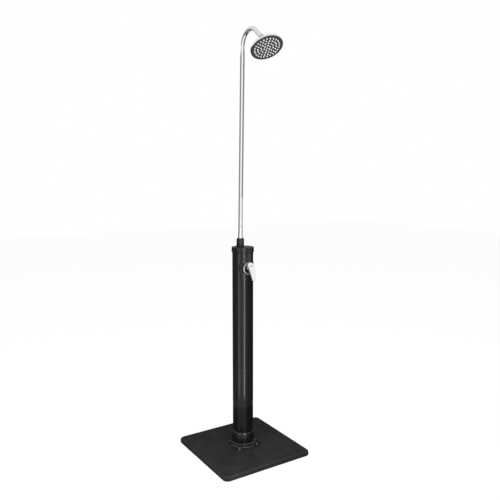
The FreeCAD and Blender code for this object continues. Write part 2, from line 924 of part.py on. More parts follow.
def riser_fitting():
    """Socket, gasket, nuts and seal that hold the riser on the cap."""
    shelf = D["gasket_thick"]
    seat = shelf + D["socket_flange_thick"]
    bore = D["riser_radius"] + D["swivel_clearance"]

    hole = D["socket_radius"] + D["thread_clearance"]
    leaning = ring("gasket_leaning", hole, D["gasket_radius"], -D["gasket_thick"], shelf)
    leaning.Placement = RISER_FRAME
    room_size = 3 * D["gasket_radius"]
    room = block("gasket_room", room_size, room_size, room_size, 0, D["riser_offset"], CAP_TOP)
    node(shared("gasket_wedge", leaning, room), "riser_gasket")

    socket = turned("socket_body", [
        (D["socket_waterway"], -D["socket_bottom"]),
        (D["socket_radius"], -D["socket_bottom"]),
        (D["socket_radius"], shelf),
        (D["socket_flange_radius"], shelf),
        (D["socket_flange_radius"], seat),
        (D["socket_radius"], seat),
        (D["socket_radius"], D["socket_top"]),
        (bore, D["socket_top"]),
        (bore, -D["socket_ledge"]),
        (D["socket_waterway"], -D["socket_ledge"]),
    ])
    node(socket, "riser_socket", RISER_FRAME)

    corner = D["locknut_flats"] / cosine(HEX_HALF_ANGLE)
    nut_top = D["cap_thick"] + corner * sine(D["riser_lean_angle"]) + D["thread_clearance"]
    nut_low = -nut_top - D["locknut_thick"]
    blank = hexagon("locknut_blank", corner, D["locknut_thick"], 0, 0, nut_low)
    bore_rod = rod("locknut_bore", hole, D["socket_bottom"], 0, 0, -D["socket_bottom"])
    node(cut("locknut_cut", blank, [bore_rod]), "riser_locknut", RISER_FRAME)

    thread = D["socket_radius"] + D["thread_clearance"]
    skirt = D["socket_flange_radius"] + D["swivel_clearance"]
    skirt_foot = shelf + D["swivel_clearance"]
    lip = D["riser_nut_top"] - D["riser_nut_lip"]
    cone_start = lip - D["riser_seal_thick"]
    shoulder = D["riser_nut_top"] - D["riser_nut_bevel"]
    nut = turned("riser_nut_body", [
        (skirt, skirt_foot),
        (D["riser_nut_radius"], skirt_foot),
        (D["riser_nut_radius"], shoulder),
        (D["riser_nut_radius"] - D["riser_nut_bevel"], D["riser_nut_top"]),
        (bore, D["riser_nut_top"]),
        (bore, lip),
        (thread, cone_start),
        (thread, seat),
        (skirt, seat),
    ])
    round_rims(nut, D["riser_nut_round"], [(D["riser_nut_radius"], shoulder)])
    node(nut, "riser_nut", RISER_FRAME)

    fit = D["riser_radius"] + D["sleeve_clearance"]
    shrink = D["thread_clearance"]
    seal = turned("riser_seal_body", [
        (fit, D["socket_top"]),
        (D["socket_radius"], D["socket_top"]),
        (D["socket_radius"], cone_start),
        (bore, lip - shrink),
        (fit, lip - shrink),
    ])
    node(seal, "riser_seal", RISER_FRAME)


# ---------------------------------------------------------------- riser and gooseneck

def riser():
    """Lower riser, hidden sleeve and gooseneck, all on the leaning riser axis."""
    bore = D["riser_radius"] - D["riser_wall"]
    lower_end = D["joint_gap"] - D["socket_ledge"]
    pipe = ring("riser_pipe_body", bore, D["riser_radius"], lower_end, D["riser_joint"])
    node(pipe, "riser_pipe", RISER_FRAME)

    sleeve_outer = bore - D["sleeve_clearance"]
    sleeve_low = D["riser_joint"] - D["sleeve_length"] / 2
    sleeve_high = D["riser_joint"] + D["sleeve_length"] / 2
    sleeve = ring("sleeve_body", sleeve_outer - D["sleeve_wall"], sleeve_outer, sleeve_low, sleeve_high)
    node(sleeve, "riser_sleeve", RISER_FRAME)

    start = D["riser_joint"] + D["joint_gap"]
    straight = D["bend_start"] - start
    leg = D["arm_reach"] - D["stud_collar_end"] - D["stud_washer_thick"]
    outside = bent_rod("arm_outside", D["riser_radius"], straight, D["bend_radius"], D["bend_angle"], leg)
    inside = bent_rod("arm_inside", bore, straight, D["bend_radius"], D["bend_angle"], leg)
    node(cut("arm_pipe", outside, [inside]), "gooseneck_arm", RISER_FRAME * frame_at(0, 0, start))

    waterway = D["ball_waterway"]
    collar_end = D["stud_collar_end"]
    tail_radius = bore - D["sleeve_clearance"]
    neck_foot = level_in_round(D["ball_radius"], D["ball_neck_radius"])
    ball_foot = level_in_round(D["ball_radius"], waterway)
    stud = turned("ball_stud_body", [
        (waterway, -ball_foot, (D["ball_radius"], 0)),
        (D["ball_neck_radius"], neck_foot),
        (D["ball_neck_radius"], D["stud_collar_start"]),
        (D["stud_collar_radius"], D["stud_collar_start"]),
        (D["stud_collar_radius"], collar_end),
        (tail_radius, collar_end),
        (tail_radius, collar_end + D["stud_tail"]),
        (waterway, collar_end + D["stud_tail"]),
    ])
    node(stud, "ball_stud", LEG_FRAME)
    washer_bore = tail_radius + D["thread_clearance"]
    washer_top = collar_end + D["stud_washer_thick"]
    washer = ring("stud_washer_body", washer_bore, D["riser_radius"], collar_end, washer_top)
    node(washer, "stud_washer", LEG_FRAME)

    inner = D["ball_radius"] + D["liner_gap"]
    outer = inner + D["liner_thick"]
    reach = D["liner_reach"]
    liner = turned("ball_liner_body", [
        (level_in_round(inner, reach), -reach),
        (level_in_round(outer, reach), -reach, (outer, 0)),
        (level_in_round(outer, reach), reach),
        (level_in_round(inner, reach), reach, (inner, 0)),
    ])
    node(liner, "ball_liner", LEG_FRAME)


# ---------------------------------------------------------------- spray head

def nozzle_spots():
    """One nozzle in the middle and rings of 6, 12, 18 and 24 around it."""
    spots = [(as_size(0), as_size(0))]
    for number in range(1, int(D["nozzle_rings"].value) + 1):
        count = 6 * number
        for step in range(count):
            angle = D["nozzle_turn_angle"] + step * FULL_TURN / count
            radius = D["nozzle_step"] * number
            spots.append((radius * cosine(angle), radius * sine(angle)))
    return spots


def spray_head():
    """Head shell with its neck, ring nut, face, nozzle mat and gasket."""
    face = -D["head_depth"]
    rim_back = face + D["head_rim"]
    cup = D["ball_radius"] + 2 * D["liner_gap"] + D["liner_thick"]
    neck_foot = -D["head_neck_start"]
    wall = D["head_wall"]
    waterway = D["head_waterway"]
    inner_rim = D["head_radius"] - wall
    joint = -D["liner_gap"]
    face_back = face + D["face_thick"]
    flare = D["head_neck_flare"]
    shell = turned("head_back_body", [
        (inner_rim, face),
        (D["head_radius"], face),
        (D["head_radius"], rim_back),
        (D["head_shoulder"], rim_back + wall),
        (flare, neck_foot),
        (D["head_neck_radius"], neck_foot + wall * 2),
        (D["head_neck_radius"], joint),
        (cup, joint, (cup * cosine(CUP_ARC_ANGLE), joint - cup * sine(CUP_ARC_ANGLE))),
        (waterway, joint - level_in_round(cup, waterway)),
        (waterway, neck_foot - wall),
        (flare, neck_foot - wall),
        (D["head_shoulder"] - wall, rim_back),
        (inner_rim - wall, rim_back - wall),
        (inner_rim - wall, face_back + D["head_gasket_thick"]),
        (inner_rim, face_back + D["head_gasket_thick"]),
    ])
    round_rims(shell, D["head_round"], [(D["head_radius"], rim_back)])
    round_rims(shell, D["head_round"], [(flare, neck_foot)])
    round_rims(shell, D["head_lip_round"], [(D["head_radius"], face)])
    node(shell, "head_back", HEAD_FRAME)

    mouth = D["head_nut_mouth"]
    mouth_height = level_in_round(cup, mouth)
    thread = D["head_neck_radius"] + D["thread_clearance"]
    bevel = D["head_nut_radius"] - thread
    bend = (cup * cosine(MOUTH_ARC_ANGLE), cup * sine(MOUTH_ARC_ANGLE))
    nut = turned("head_nut_body", [
        (thread, -D["head_nut_skirt"]),
        (D["head_nut_radius"], -D["head_nut_skirt"]),
        (D["head_nut_radius"], D["head_nut_top"] - bevel),
        (D["head_nut_radius"] - bevel, D["head_nut_top"]),
        (D["head_nut_flare"], D["head_nut_top"]),
        (mouth, mouth_height, bend),
        (cup, 0),
        (thread, 0),
    ])
    node(nut, "head_nut", HEAD_FRAME)

    holes = new_body("face_body")
    sketch = sketch_on(holes, "XY_Plane", "face_outline")
    circle(sketch, 0, 0, D["face_radius"])
    hole = D["nozzle_radius"] + D["nozzle_clearance"]
    for x, y in nozzle_spots():
        circle(sketch, x, y, hole)
    pad = holes.newObject("PartDesign::Pad", "face_pad")
    pad.Profile = sketch
    bind(pad, "Length", D["face_thick"] - D["face_gap"])
    node(holes, "head_face", HEAD_FRAME * frame_at(0, 0, face + D["face_gap"]))

    mat_back = D["face_thick"] + D["mat_thick"]
    sheet_disc = rod("mat_disc", D["mat_radius"], D["mat_thick"], 0, 0, D["face_thick"])
    proud = D["nozzle_proud"]
    tips = []
    bores = []
    for x, y in nozzle_spots():
        tip = doc.addObject("Part::Cone", "nozzle")
        bind(tip, "Radius1", D["nozzle_tip_radius"])
        bind(tip, "Radius2", D["nozzle_radius"])
        bind(tip, "Height", D["face_thick"] + proud)
        tips.append(place(tip, x, y, -proud))
        bores.append(rod("jet", D["nozzle_bore"], mat_back + 4 * proud, x, y, -2 * proud))
    mat = cut("mat_pierced", joined("mat_solid", [sheet_disc] + tips), bores)
    node(mat, "nozzle_mat", HEAD_FRAME * frame_at(0, 0, face))

    gasket_outer = inner_rim - D["face_gap"]
    gasket_inner = gasket_outer - D["head_gasket_width"]
    gasket_top = face_back + D["head_gasket_thick"]
    gasket = ring("head_gasket_body", gasket_inner, gasket_outer, face_back, gasket_top)
    node(gasket, "head_gasket", HEAD_FRAME)


# ---------------------------------------------------------------- mixer

def mixer_saddle():
    """Swollen saddle on the tank with a flat seat for the bezel."""
    start = TANK_BORE
    barrel = turned("saddle_barrel", [
        (start, -D["saddle_half"]),
        (D["tank_radius"] + D["saddle_edge"], -D["saddle_half"]),
        (D["saddle_radius"], -D["saddle_flat"]),
        (D["saddle_radius"], D["saddle_flat"]),
        (D["tank_radius"] + D["saddle_edge"], D["saddle_half"]),
        (start, D["saddle_half"]),
    ])
    sections = []
    widths = (D["saddle_inner_width"], D["saddle_outer_width"])
    halves = (D["saddle_inner_half"], D["saddle_outer_half"])
    places = (D["saddle_inner_place"], D["saddle_outer_place"])
    for width, half, spot in zip(widths, halves, places):
        oval = doc.addObject("Part::Ellipse", "saddle_oval")
        bind(oval, "MajorRadius", half)
        bind(oval, "MinorRadius", width)
        upright = FreeCAD.Rotation(Z_AXIS, X_AXIS, Y_AXIS, "XYZ")
        place(oval, 0, -spot, 0, upright)
        sections.append(oval)
    outline_block = doc.addObject("Part::Loft", "saddle_outline")
    outline_block.Sections = sections
    outline_block.Solid = True
    outline_block.Ruled = True
    swelling = shared("saddle_swelling", barrel, outline_block)
    boss = rod("saddle_boss", D["boss_radius"], D["boss_front"], 0, 0, 0, "-y")
    front = rod("saddle_front", D["boss_radius"], D["boss_front"], 0, -D["boss_front"], 0, "-y")
    long = 4 * D["saddle_half"]
    tank_room = rod("saddle_tank", D["tank_radius"] + D["saddle_gap"], long, 0, 0, -long / 2)
    neck_hole = D["valve_neck_radius"] + D["neck_hole_clearance"]
    neck = rod("saddle_neck", neck_hole, 2 * D["boss_front"], along="-y")
    whole = joined("saddle_whole", [swelling, boss])
    saddle = cut("saddle_cut", whole, [front, tank_room, neck])
    node(saddle, "mixer_saddle", frame_at(0, 0, MIXER_HEIGHT))


def valve_body():
    """Valve body inside the tank, its neck through the wall and three ports."""
    depth = D["valve_shoulder"] - D["valve_back"]
    shell = rod("valve_shell", D["valve_radius"], depth, 0, 0, D["valve_back"])
    neck_length = D["valve_neck_front"] - D["valve_back"]
    neck = rod("valve_neck", D["valve_neck_radius"], neck_length, 0, 0, D["valve_back"])
    up = rod("port_hot", D["port_radius"], D["port_reach"], 0, 0, D["port_place"], "+y")
    down = rod("port_cold", D["port_radius"], D["port_reach"], 0, 0, D["port_place"], "-y")
    back = rod("port_mixed", D["port_radius"], D["port_place"] + D["pipe_insert"], 0, 0, -D["pipe_insert"])

    seat = D["cartridge_back"] - D["cartridge_fit"]
    room = rod("valve_room", D["cartridge_radius"] + D["cartridge_fit"], D["valve_neck_front"], 0, 0, seat)
    socket = D["pipe_radius"] + D["slip_clearance"]
    deep = D["port_reach"] - D["pipe_insert"]
    inner = D["port_inner"]
    link_low = D["port_place"] - D["link_radius"]
    link = D["cartridge_back"] - link_low
    tail = D["pipe_insert"]
    cuts = [
        room,
        rod("hot_socket", socket, D["port_reach"], 0, deep, D["port_place"], "+y"),
        rod("hot_passage", D["passage_radius"], D["port_reach"], 0, inner, D["port_place"], "+y"),
        rod("hot_link", D["link_radius"], link, 0, inner, link_low),
        rod("cold_socket", socket, D["port_reach"], 0, -deep, D["port_place"], "-y"),
        rod("cold_passage", D["passage_radius"], D["port_reach"], 0, -inner, D["port_place"], "-y"),
        rod("cold_link", D["link_radius"], link, 0, -inner, link_low),
        rod("mixed_socket", socket, 2 * tail, 0, 0, -2 * tail),
        rod("mixed_passage", D["passage_radius"], D["cartridge_back"] + tail, 0, 0, -tail),
    ]
    whole = joined("valve_whole", [shell, neck, up, down, back])
    node(cut("valve_cut", whole, cuts), "valve_body", MIXER_FRAME)

    bore = D["valve_neck_radius"] + D["thread_clearance"]
    washer = ring("valve_washer_body", bore, D["valve_radius"], D["valve_shoulder"], TANK_BORE)
    long = 4 * D["valve_radius"]
    inside = rod("valve_washer_room", TANK_BORE - D["slip_clearance"], long, 0, -long / 2, 0, "+y")
    node(shared("valve_washer_cut", washer, inside), "valve_washer", MIXER_FRAME)


def cartridge():
    """Ceramic cartridge, its gland ring, the chrome bezel and the dust ring in it."""
    outer = D["cartridge_radius"]
    inner = outer - D["cartridge_wall"]
    floor = D["cartridge_back"] + D["cartridge_floor"]
    lip = D["cartridge_front"] - D["cartridge_rim"]
    port = D["link_radius"]
    cup = turned("cartridge_cup", [
        (0, D["cartridge_back"]),
        (outer, D["cartridge_back"]),
        (outer, D["cartridge_front"]),
        (D["cartridge_lip"], D["cartridge_front"]),
        (D["cartridge_lip"], lip),
        (inner, lip),
        (inner, floor),
        (0, floor),
    ])
    ports = [
        rod("cartridge_port", port, floor, 0, y, 0)
        for y in (-D["port_inner"], 0, D["port_inner"])
    ]
    node(cut("cartridge_cut", cup, ports), "cartridge_body", MIXER_FRAME)

    disc_meet = floor + D["disc_thick"]
    driver_low = disc_meet + D["disc_thick"]
    fixed = ring("fixed_disc_body", port, inner - D["driver_clearance"], floor, disc_meet)
    node(fixed, "ceramic_disc_fixed", MIXER_FRAME)
    moving = ring("moving_disc_body", port, D["disc_radius"], disc_meet, driver_low)
    node(moving, "ceramic_disc_moving", MIXER_FRAME)

    driver_high = lip - D["small_gap"] * 2
    driver_radius = inner - D["driver_clearance"]
    blank = rod("driver_blank", driver_radius, driver_high - driver_low, 0, 0, driver_low)
    slot_width = 2 * (D["stem_half"] + D["stem_clearance"])
    slot = block("driver_slot_room", slot_width, 2 * D["driver_slot"], 2 * driver_high)
    start = -D["pin_half"]
    length = 2 * D["pin_half"]
    pin_fit = D["pin_radius"] + D["slip_clearance"]
    pin_hole = rod("driver_pin_hole", pin_fit, length, start, 0, D["pivot_out"], "+x")
    node(cut("driver_cut", blank, [slot, pin_hole]), "cartridge_driver", MIXER_FRAME)
    pin = rod("pin_rod", D["pin_radius"], length, start, 0, D["pivot_out"], "+x")
    node(group("pin_whole", [pin]), "stem_pin", MIXER_FRAME)

    gland_outer = D["cartridge_radius"] + D["cartridge_fit"] - D["slip_clearance"]
    gland_top = D["cartridge_front"] + D["gland_thick"]
    gland = ring("gland_body", D["gland_radius"], gland_outer, D["cartridge_front"], gland_top)
    node(gland, "cartridge_nut", MIXER_FRAME)

    back = D["boss_front"]
    crest = back + D["bezel_thick"]
    web = back + D["bezel_web"]
    bezel = turned("bezel_body", [
        (D["valve_neck_radius"] + D["thread_clearance"], back),
        (D["bezel_radius"], back),
        (D["bezel_radius"], back + D["bezel_edge"]),
        (D["bezel_bore"] + D["bezel_edge"], crest),
        (D["bezel_bore"], crest - D["bezel_web"] / 4),
        (D["bezel_bore"], web),
        (D["valve_neck_radius"] + D["thread_clearance"], web),
    ])
    round_rims(bezel, D["bezel_edge"] / 2, [(D["bezel_radius"], back + D["bezel_edge"])])
    round_rims(bezel, D["bezel_edge"] / 4, [(D["bezel_bore"] + D["bezel_edge"], crest)])
    node(bezel, "mixer_bezel", MIXER_FRAME)
    dust_bore = D["cartridge_radius"] + D["cartridge_fit"] + D["small_gap"]
    dust_outer = D["bezel_bore"] - D["slip_clearance"]
    dust = ring("dust_ring_body", dust_bore, dust_outer, web, web + D["dust_ring_thick"])
    node(dust, "dust_ring", MIXER_FRAME)


def lever_side():
    """Side view of the lever: out from the pivot across, down the paddle."""
    top = D["lever_head_radius"] + D["stem_half"]
    tip = -(D["lever_tip_place"] + D["lever_tip_radius"] + D["stem_half"])
    return [
        (top, D["lever_top_back"]),
        (top, D["lever_top_front"], (-D["lever_belly_place"], D["lever_belly"])),
        (tip, D["lever_tip_front"]),
        (tip, D["lever_tip_back"], (-D["lever_under_place"], D["lever_under"])),
        (-D["lever_throat"], D["lever_back"]),
        (D["stem_half"], D["lever_back"]),
    ]


def lever():
    """Chrome lever, the stem it turns, its screw and the plug over the screw."""
    side = padded("lever_side_body", "YZ_Plane", lever_side(), 3 * D["lever_head_radius"], True)
    head = rod("lever_head", D["lever_head_radius"], 2 * D["lever_belly"])
    tip = rod("lever_tip", D["lever_tip_radius"], 2 * D["lever_belly"], 0, -D["lever_tip_place"], 0)
    lean = (D["lever_head_radius"] - D["lever_tip_radius"]) / D["lever_tip_place"]
    lean_side = root(1 - lean * lean)
    blade = padded("lever_blade", "XY_Plane", [
        (-D["lever_head_radius"] * lean_side, -D["lever_head_radius"] * lean),
        (-D["lever_tip_radius"] * lean_side, -D["lever_tip_place"] - D["lever_tip_radius"] * lean),
        (D["lever_tip_radius"] * lean_side, -D["lever_tip_place"] - D["lever_tip_radius"] * lean),
        (D["lever_head_radius"] * lean_side, -D["lever_head_radius"] * lean),
    ], 2 * D["lever_belly"])
    front = joined("lever_front", [head, tip, blade])
    paddle = shared("lever_paddle", side, front)
    neck_length = D["lever_back"] + D["lever_neck_sink"] - D["lever_neck_start"]
    neck = rod("lever_neck", D["lever_neck_radius"], neck_length, 0, 0, D["lever_neck_start"])
    whole = joined("lever_whole", [paddle, neck])

    hole_half = D["stem_half"] + D["slip_clearance"]
    stem_room = block("stem_room", 2 * hole_half, 2 * hole_half, D["stem_end"] + D["small_gap"])
    face = D["plug_face"]
    plug_floor = face - D["plug_thick"]
    screw_floor = plug_floor - D["screw_head_thick"] - D["small_gap"]
    cuts = [
        stem_room,
        rod("lever_screw_hole", D["screw_radius"] + D["slip_clearance"], face),
        rod("lever_screw_seat", D["screw_head_radius"] + D["slip_clearance"], face, 0, 0, screw_floor),
        rod("lever_plug_seat", D["plug_radius"] + D["slip_clearance"], face, 0, 0, plug_floor),
    ]
    node(cut("lever_cut", whole, cuts), "lever_handle", LEVER_FRAME)

    stem_length = D["stem_end"] - D["stem_start"]
    bar = block("stem_bar", 2 * D["stem_half"], 2 * D["stem_half"], stem_length, 0, 0, D["stem_start"])
    pin_fit = D["pin_radius"] + D["slip_clearance"]
    eye = rod("stem_eye", pin_fit, 2 * D["pin_half"], -D["pin_half"], 0, 0, "+x")
    thread_low = D["stem_end"] - D["screw_depth"]
    thread = rod("stem_thread", D["screw_radius"] + D["slip_clearance"], D["stem_end"], 0, 0, thread_low)
    node(cut("stem_cut", bar, [eye, thread]), "cartridge_stem", LEVER_FRAME)

    shank_low = D["stem_end"] - D["screw_depth"] + D["small_gap"]
    shank = rod("screw_shank", D["screw_radius"], screw_floor - shank_low, 0, 0, shank_low)
    screw_head = rod("screw_head", D["screw_head_radius"], D["screw_head_thick"], 0, 0, screw_floor)
    key_foot = plug_floor - D["screw_radius"]
    key = hexagon("screw_key", D["key_radius"], D["screw_head_thick"], 0, 0, key_foot)
    node(cut("screw_cut", joined("screw_whole", [shank, screw_head]), [key]), "lever_screw", LEVER_FRAME)
    plug_high = face + D["small_gap"]
    plug = turned("index_plug_body", [
        (0, plug_floor),
        (D["plug_radius"], plug_floor),
        (D["plug_radius"], plug_high),
        (0, plug_high),
    ])
    round_rims(plug, D["plug_round"], [(D["plug_radius"], plug_high)])
    node(plug, "index_plug", LEVER_FRAME)


# ---------------------------------------------------------------- fittings at the back

def saddle_washer(name, bore, outer, frame, height, label):
    """A rubber washer, flat outside and hollowed to sit on the tank."""
    flat = ring(name + "_flat", bore, outer, TANK_BORE, D["fitting_seat"])
    flat.Placement = frame
    tank_room = rod(name + "_tank", D["tank_radius"] + D["saddle_gap"], 4 * outer, 0, 0, height - 2 * outer)
    node(cut(name, flat, [tank_room]), label)


def inlet():
    """Threaded water inlet at the back, with its washer and inside nut."""
    seat = D["fitting_seat"]
    flange_end = seat + D["inlet_flange_thick"]
    spigot = D["inlet_spigot_radius"]
    pipe = D["pipe_radius"] + D["slip_clearance"]
    tail = D["fitting_tail"]
    nut_inner = level_in_round(TANK_BORE, D["inlet_nut_radius"])
    body = turned("inlet_body", [
        (pipe, tail),
        (spigot, tail),
        (spigot, tail + D["pipe_wall"]),
        (D["inlet_radius"], tail + D["pipe_wall"]),
        (D["inlet_radius"], seat),
        (D["inlet_flange_radius"], seat),
        (D["inlet_flange_radius"], flange_end),
        (D["inlet_radius"], flange_end),
        (D["inlet_radius"], D["inlet_length"] - D["thread_bevel"]),
        (D["inlet_radius"] - D["thread_bevel"], D["inlet_length"]),
        (D["inlet_bore"], D["inlet_length"]),
        (D["inlet_bore"], flange_end),
        (pipe, flange_end),
    ])
    round_rims(body, D["inlet_round"], [(D["inlet_flange_radius"], flange_end)])
    node(body, "hose_inlet", INLET_FRAME)
    hole = D["inlet_radius"] + D["thread_clearance"]
    outer = D["inlet_flange_radius"]
    saddle_washer("inlet_washer_cut", hole, outer, INLET_FRAME, D["inlet_height"], "inlet_washer")

    nut_top = nut_inner - D["slip_clearance"]
    nut_low = nut_top - D["inlet_nut_thick"]
    blank = hexagon("inlet_nut_blank", D["inlet_nut_radius"], D["inlet_nut_thick"], 0, 0, nut_low)
    bore = rod("inlet_nut_bore", hole, D["inlet_length"])
    node(cut("inlet_nut_cut", blank, [bore]), "inlet_locknut", INLET_FRAME)


def drain():
    """Drain bush low on the back and the knurled plug that closes it."""
    seat = D["fitting_seat"]
    flange_end = seat + D["drain_flange_thick"]
    body = turned("drain_body", [
        (D["drain_bore"], D["drain_tail"]),
        (D["drain_radius"], D["drain_tail"]),
        (D["drain_radius"], seat),
        (D["drain_flange_radius"], seat),
        (D["drain_flange_radius"], flange_end),
        (D["drain_bore"], flange_end),
    ])
    node(body, "drain_bush", DRAIN_FRAME)
    hole = D["drain_radius"] + D["thread_clearance"]
    outer = D["drain_flange_radius"]
    saddle_washer("drain_washer_cut", hole, outer, DRAIN_FRAME, D["drain_height"], "drain_washer")

    thread = D["drain_bore"] - D["thread_clearance"]
    head_low = flange_end + D["small_gap"]
    head_high = head_low + D["drain_head_thick"]
    plug = turned("drain_plug_body", [
        (0, D["drain_plug_tail"]),
        (thread, D["drain_plug_tail"]),
        (thread, head_low),
        (D["drain_head_radius"], head_low),
        (D["drain_head_radius"], head_high),
        (0, head_high),
    ])
    round_rims(plug, D["drain_head_round"], [(D["drain_head_radius"], head_high)])
    flutes = []
    around = D["drain_head_radius"] + D["flute_out"]
    length = 2 * D["drain_head_thick"]
    for step in range(FLUTES):
        angle = step * FULL_TURN / FLUTES
        x = around * cosine(angle)
        y = around * sine(angle)
        flutes.append(rod("drain_flute", D["flute_radius"], length, x, y, head_low + D["flute_foot"]))
    node(cut("drain_plug_fluted", plug, flutes), "drain_plug", DRAIN_FRAME)


# ---------------------------------------------------------------- pipes inside the tank

def pipe_run(name, rise, bend, turn, reach, label, frame):
    """A thin pipe of the tank's inner plumbing."""
    outside = bent_rod(name + "_outside", D["pipe_radius"], rise, bend, turn, reach)
    bore = D["pipe_radius"] - D["pipe_wall"]
    inside = bent_rod(name + "_inside", bore, rise, bend, turn, reach)
    node(cut(name, outside, [inside]), label, frame)


def inner_pipes():
    """Cold feed from the inlet, hot draw from the top, mixed feed to the riser."""
    stub_end = D["port_reach"] - D["pipe_insert"] + D["slip_clearance"]
    depth = -D["port_place"]

    draw = ring("hot_pipe_body", D["pipe_radius"] - D["pipe_wall"], D["pipe_radius"], 0, D["hot_reach"])
    node(draw, "hot_draw_pipe", frame_at(0, depth, MIXER_HEIGHT + stub_end))

    cold_start = MIXER_HEIGHT - stub_end
    cold_fall = cold_start - D["inlet_height"] - D["cold_bend"]
    cold_reach = D["fitting_tail"] + D["pipe_insert"] + D["port_place"] - D["cold_bend"]
    quarter = as_size(QUARTER_TURN)
    pipe_run("cold_pipe", cold_fall, D["cold_bend"], quarter, cold_reach, "cold_feed_pipe",
             frame_at(0, depth, cold_start, HALF_TURN))

    feed_start = D["slip_clearance"]
    rise_axis = D["riser_offset"] + D["socket_bottom"] * sine(D["riser_lean_angle"])
    feed_run = rise_axis - feed_start - D["feed_bend"]
    feed_rise = CAP_TOP - D["socket_bottom"] + D["pipe_insert"] - MIXER_HEIGHT - D["feed_bend"]
    pipe_run("feed_pipe", feed_run, D["feed_bend"], quarter, feed_rise, "riser_feed_pipe",
             frame_at(0, feed_start, MIXER_HEIGHT, -QUARTER_TURN))


# ---------------------------------------------------------------- build and write

def build():
    base_plate()
    foot_fasteners()
    base_flange()
    tank()
    top_cap()
    riser_fitting()
    riser()
    spray_head()
    mixer_saddle()
    valve_body()
    cartridge()
    lever()
    inlet()
    drain()
    inner_pipes()
    doc.recompute()


def check():
    """Stop on any failed feature or unsound shape."""
    for thing in doc.Objects:
        if "Invalid" in thing.State or "Error" in thing.State:
            raise RuntimeError("%s failed: %s" % (thing.Name, thing.State))
    for thing in nodes:
        if thing.Shape.isNull() or not thing.Shape.isValid() or not thing.Shape.Solids:
            raise RuntimeError(thing.Label + " has no sound shape")


def write():
    os.makedirs("parts", exist_ok=True)
    for thing in nodes:
        thing.Shape.exportStep("parts/%s.step" % thing.Label)
        box = thing.Shape.BoundBox
        print("%-22s solids %2d  volume %10.1f  X %7.1f %7.1f  Y %7.1f %7.1f  Z %7.1f %7.1f" % (
            thing.Label, len(thing.Shape.Solids), thing.Shape.Volume,
            box.XMin, box.XMax, box.YMin, box.YMax, box.ZMin, box.ZMax))


build()
check()
write()
print("nodes:", len(nodes))
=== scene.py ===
"""Outdoor shower post: finishes, small details and studio for the framed model."""
import json
import math

import bmesh
import bpy
from bpy.props import FloatProperty, FloatVectorProperty, PointerProperty
from mathutils import Matrix, Vector
from mathutils.bvhtree import BVHTree

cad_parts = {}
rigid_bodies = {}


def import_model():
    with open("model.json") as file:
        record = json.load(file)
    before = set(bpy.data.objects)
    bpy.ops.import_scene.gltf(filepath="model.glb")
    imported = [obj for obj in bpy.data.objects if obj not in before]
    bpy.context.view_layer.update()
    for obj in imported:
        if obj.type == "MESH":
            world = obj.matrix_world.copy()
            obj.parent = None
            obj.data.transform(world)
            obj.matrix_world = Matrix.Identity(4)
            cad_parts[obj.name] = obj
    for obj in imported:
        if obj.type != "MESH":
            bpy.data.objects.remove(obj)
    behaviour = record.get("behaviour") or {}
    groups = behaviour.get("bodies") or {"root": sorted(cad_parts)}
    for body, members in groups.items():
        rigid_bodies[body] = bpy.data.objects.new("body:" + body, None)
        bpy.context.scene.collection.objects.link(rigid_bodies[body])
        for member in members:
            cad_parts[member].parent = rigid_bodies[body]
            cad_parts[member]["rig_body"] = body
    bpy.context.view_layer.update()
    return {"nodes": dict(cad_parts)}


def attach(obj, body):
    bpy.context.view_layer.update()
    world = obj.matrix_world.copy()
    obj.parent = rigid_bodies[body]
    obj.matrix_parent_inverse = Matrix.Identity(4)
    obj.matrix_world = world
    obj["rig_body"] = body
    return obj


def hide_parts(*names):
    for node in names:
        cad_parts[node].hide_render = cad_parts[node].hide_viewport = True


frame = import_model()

bl_info = {
    "name": "Outdoor Shower Post",
    "version": (1, 0, 0),
    "blender": (4, 5, 0),
    "location": "View3D > Sidebar > Shower",
    "description": "Finishes, small details and studio for an outdoor shower post",
    "category": "Object",
}

WHITE = (1, 1, 1, 1)
SMOOTH_ANGLE = math.radians(32)  # edges sharper than this stay sharp
MERGE_DISTANCE = 0.000002
MARK_DEPTH = 0.0003
MARK_SIDES = 40
MARK_START = 0.05  # how far in front of the lever the search for its surface begins
SENSOR_WIDTH = 36
FLOOR_SIZE = 12
FLOOR_SEEN = 1.04  # brightness of the open floor to the camera
SURROUND_SEEN = 1.0  # brightness of the surround to the camera and in reflections
SURROUND_LIGHT = 0.55  # brightness of the surround as light
CARD_STEP = 5  # degrees between the folds of a curved card

# ------------------------------------------------------------------ settings


def colour(name, description, default):
    return FloatVectorProperty(
        name=name, description=description, subtype="COLOR", size=3, min=0, max=1, default=default
    )


def length(name, description, default):
    return FloatProperty(
        name=name, description=description, subtype="DISTANCE", unit="LENGTH", min=0, default=default
    )


def share(name, description, default):
    return FloatProperty(
        name=name, description=description, subtype="FACTOR", min=0, max=1, default=default
    )


class BlackFinish(bpy.types.PropertyGroup):
    """Colours and gloss of the black mouldings and the tank."""

    plate: colour("Plate", "Colour of the moulded base plate", (0.017, 0.0185, 0.0195))
    plate_rough: share("Plate roughness", "How matt the base plate is", 0.62)
    plate_grain: length("Plate grain", "Depth of the moulded grain on the plate", 0.0003)
    tank: colour("Tank", "Colour of the water tank", (0.0075, 0.0075, 0.008))
    tank_rough: share("Tank roughness", "How matt the tank is", 0.16)
    fitting: colour("Fittings", "Colour of cap, foot, saddle and riser nut", (0.007, 0.007, 0.0075))
    fitting_rough: share("Fitting roughness", "How matt the fittings are", 0.30)
    foot_rough: share("Foot roughness", "How matt the foot flange is", 0.16)
    # The rim colour is a painted highlight: a lighter colour along the foot flange's rims that stands
    # in for light caught on them.
    rim_highlight: colour("Rim", "Colour of the rubbed rims of the foot flange", (0.20, 0.20, 0.21))
    rim_width: length("Rim width", "Width of the rubbed rims of the foot flange", 0.0025)


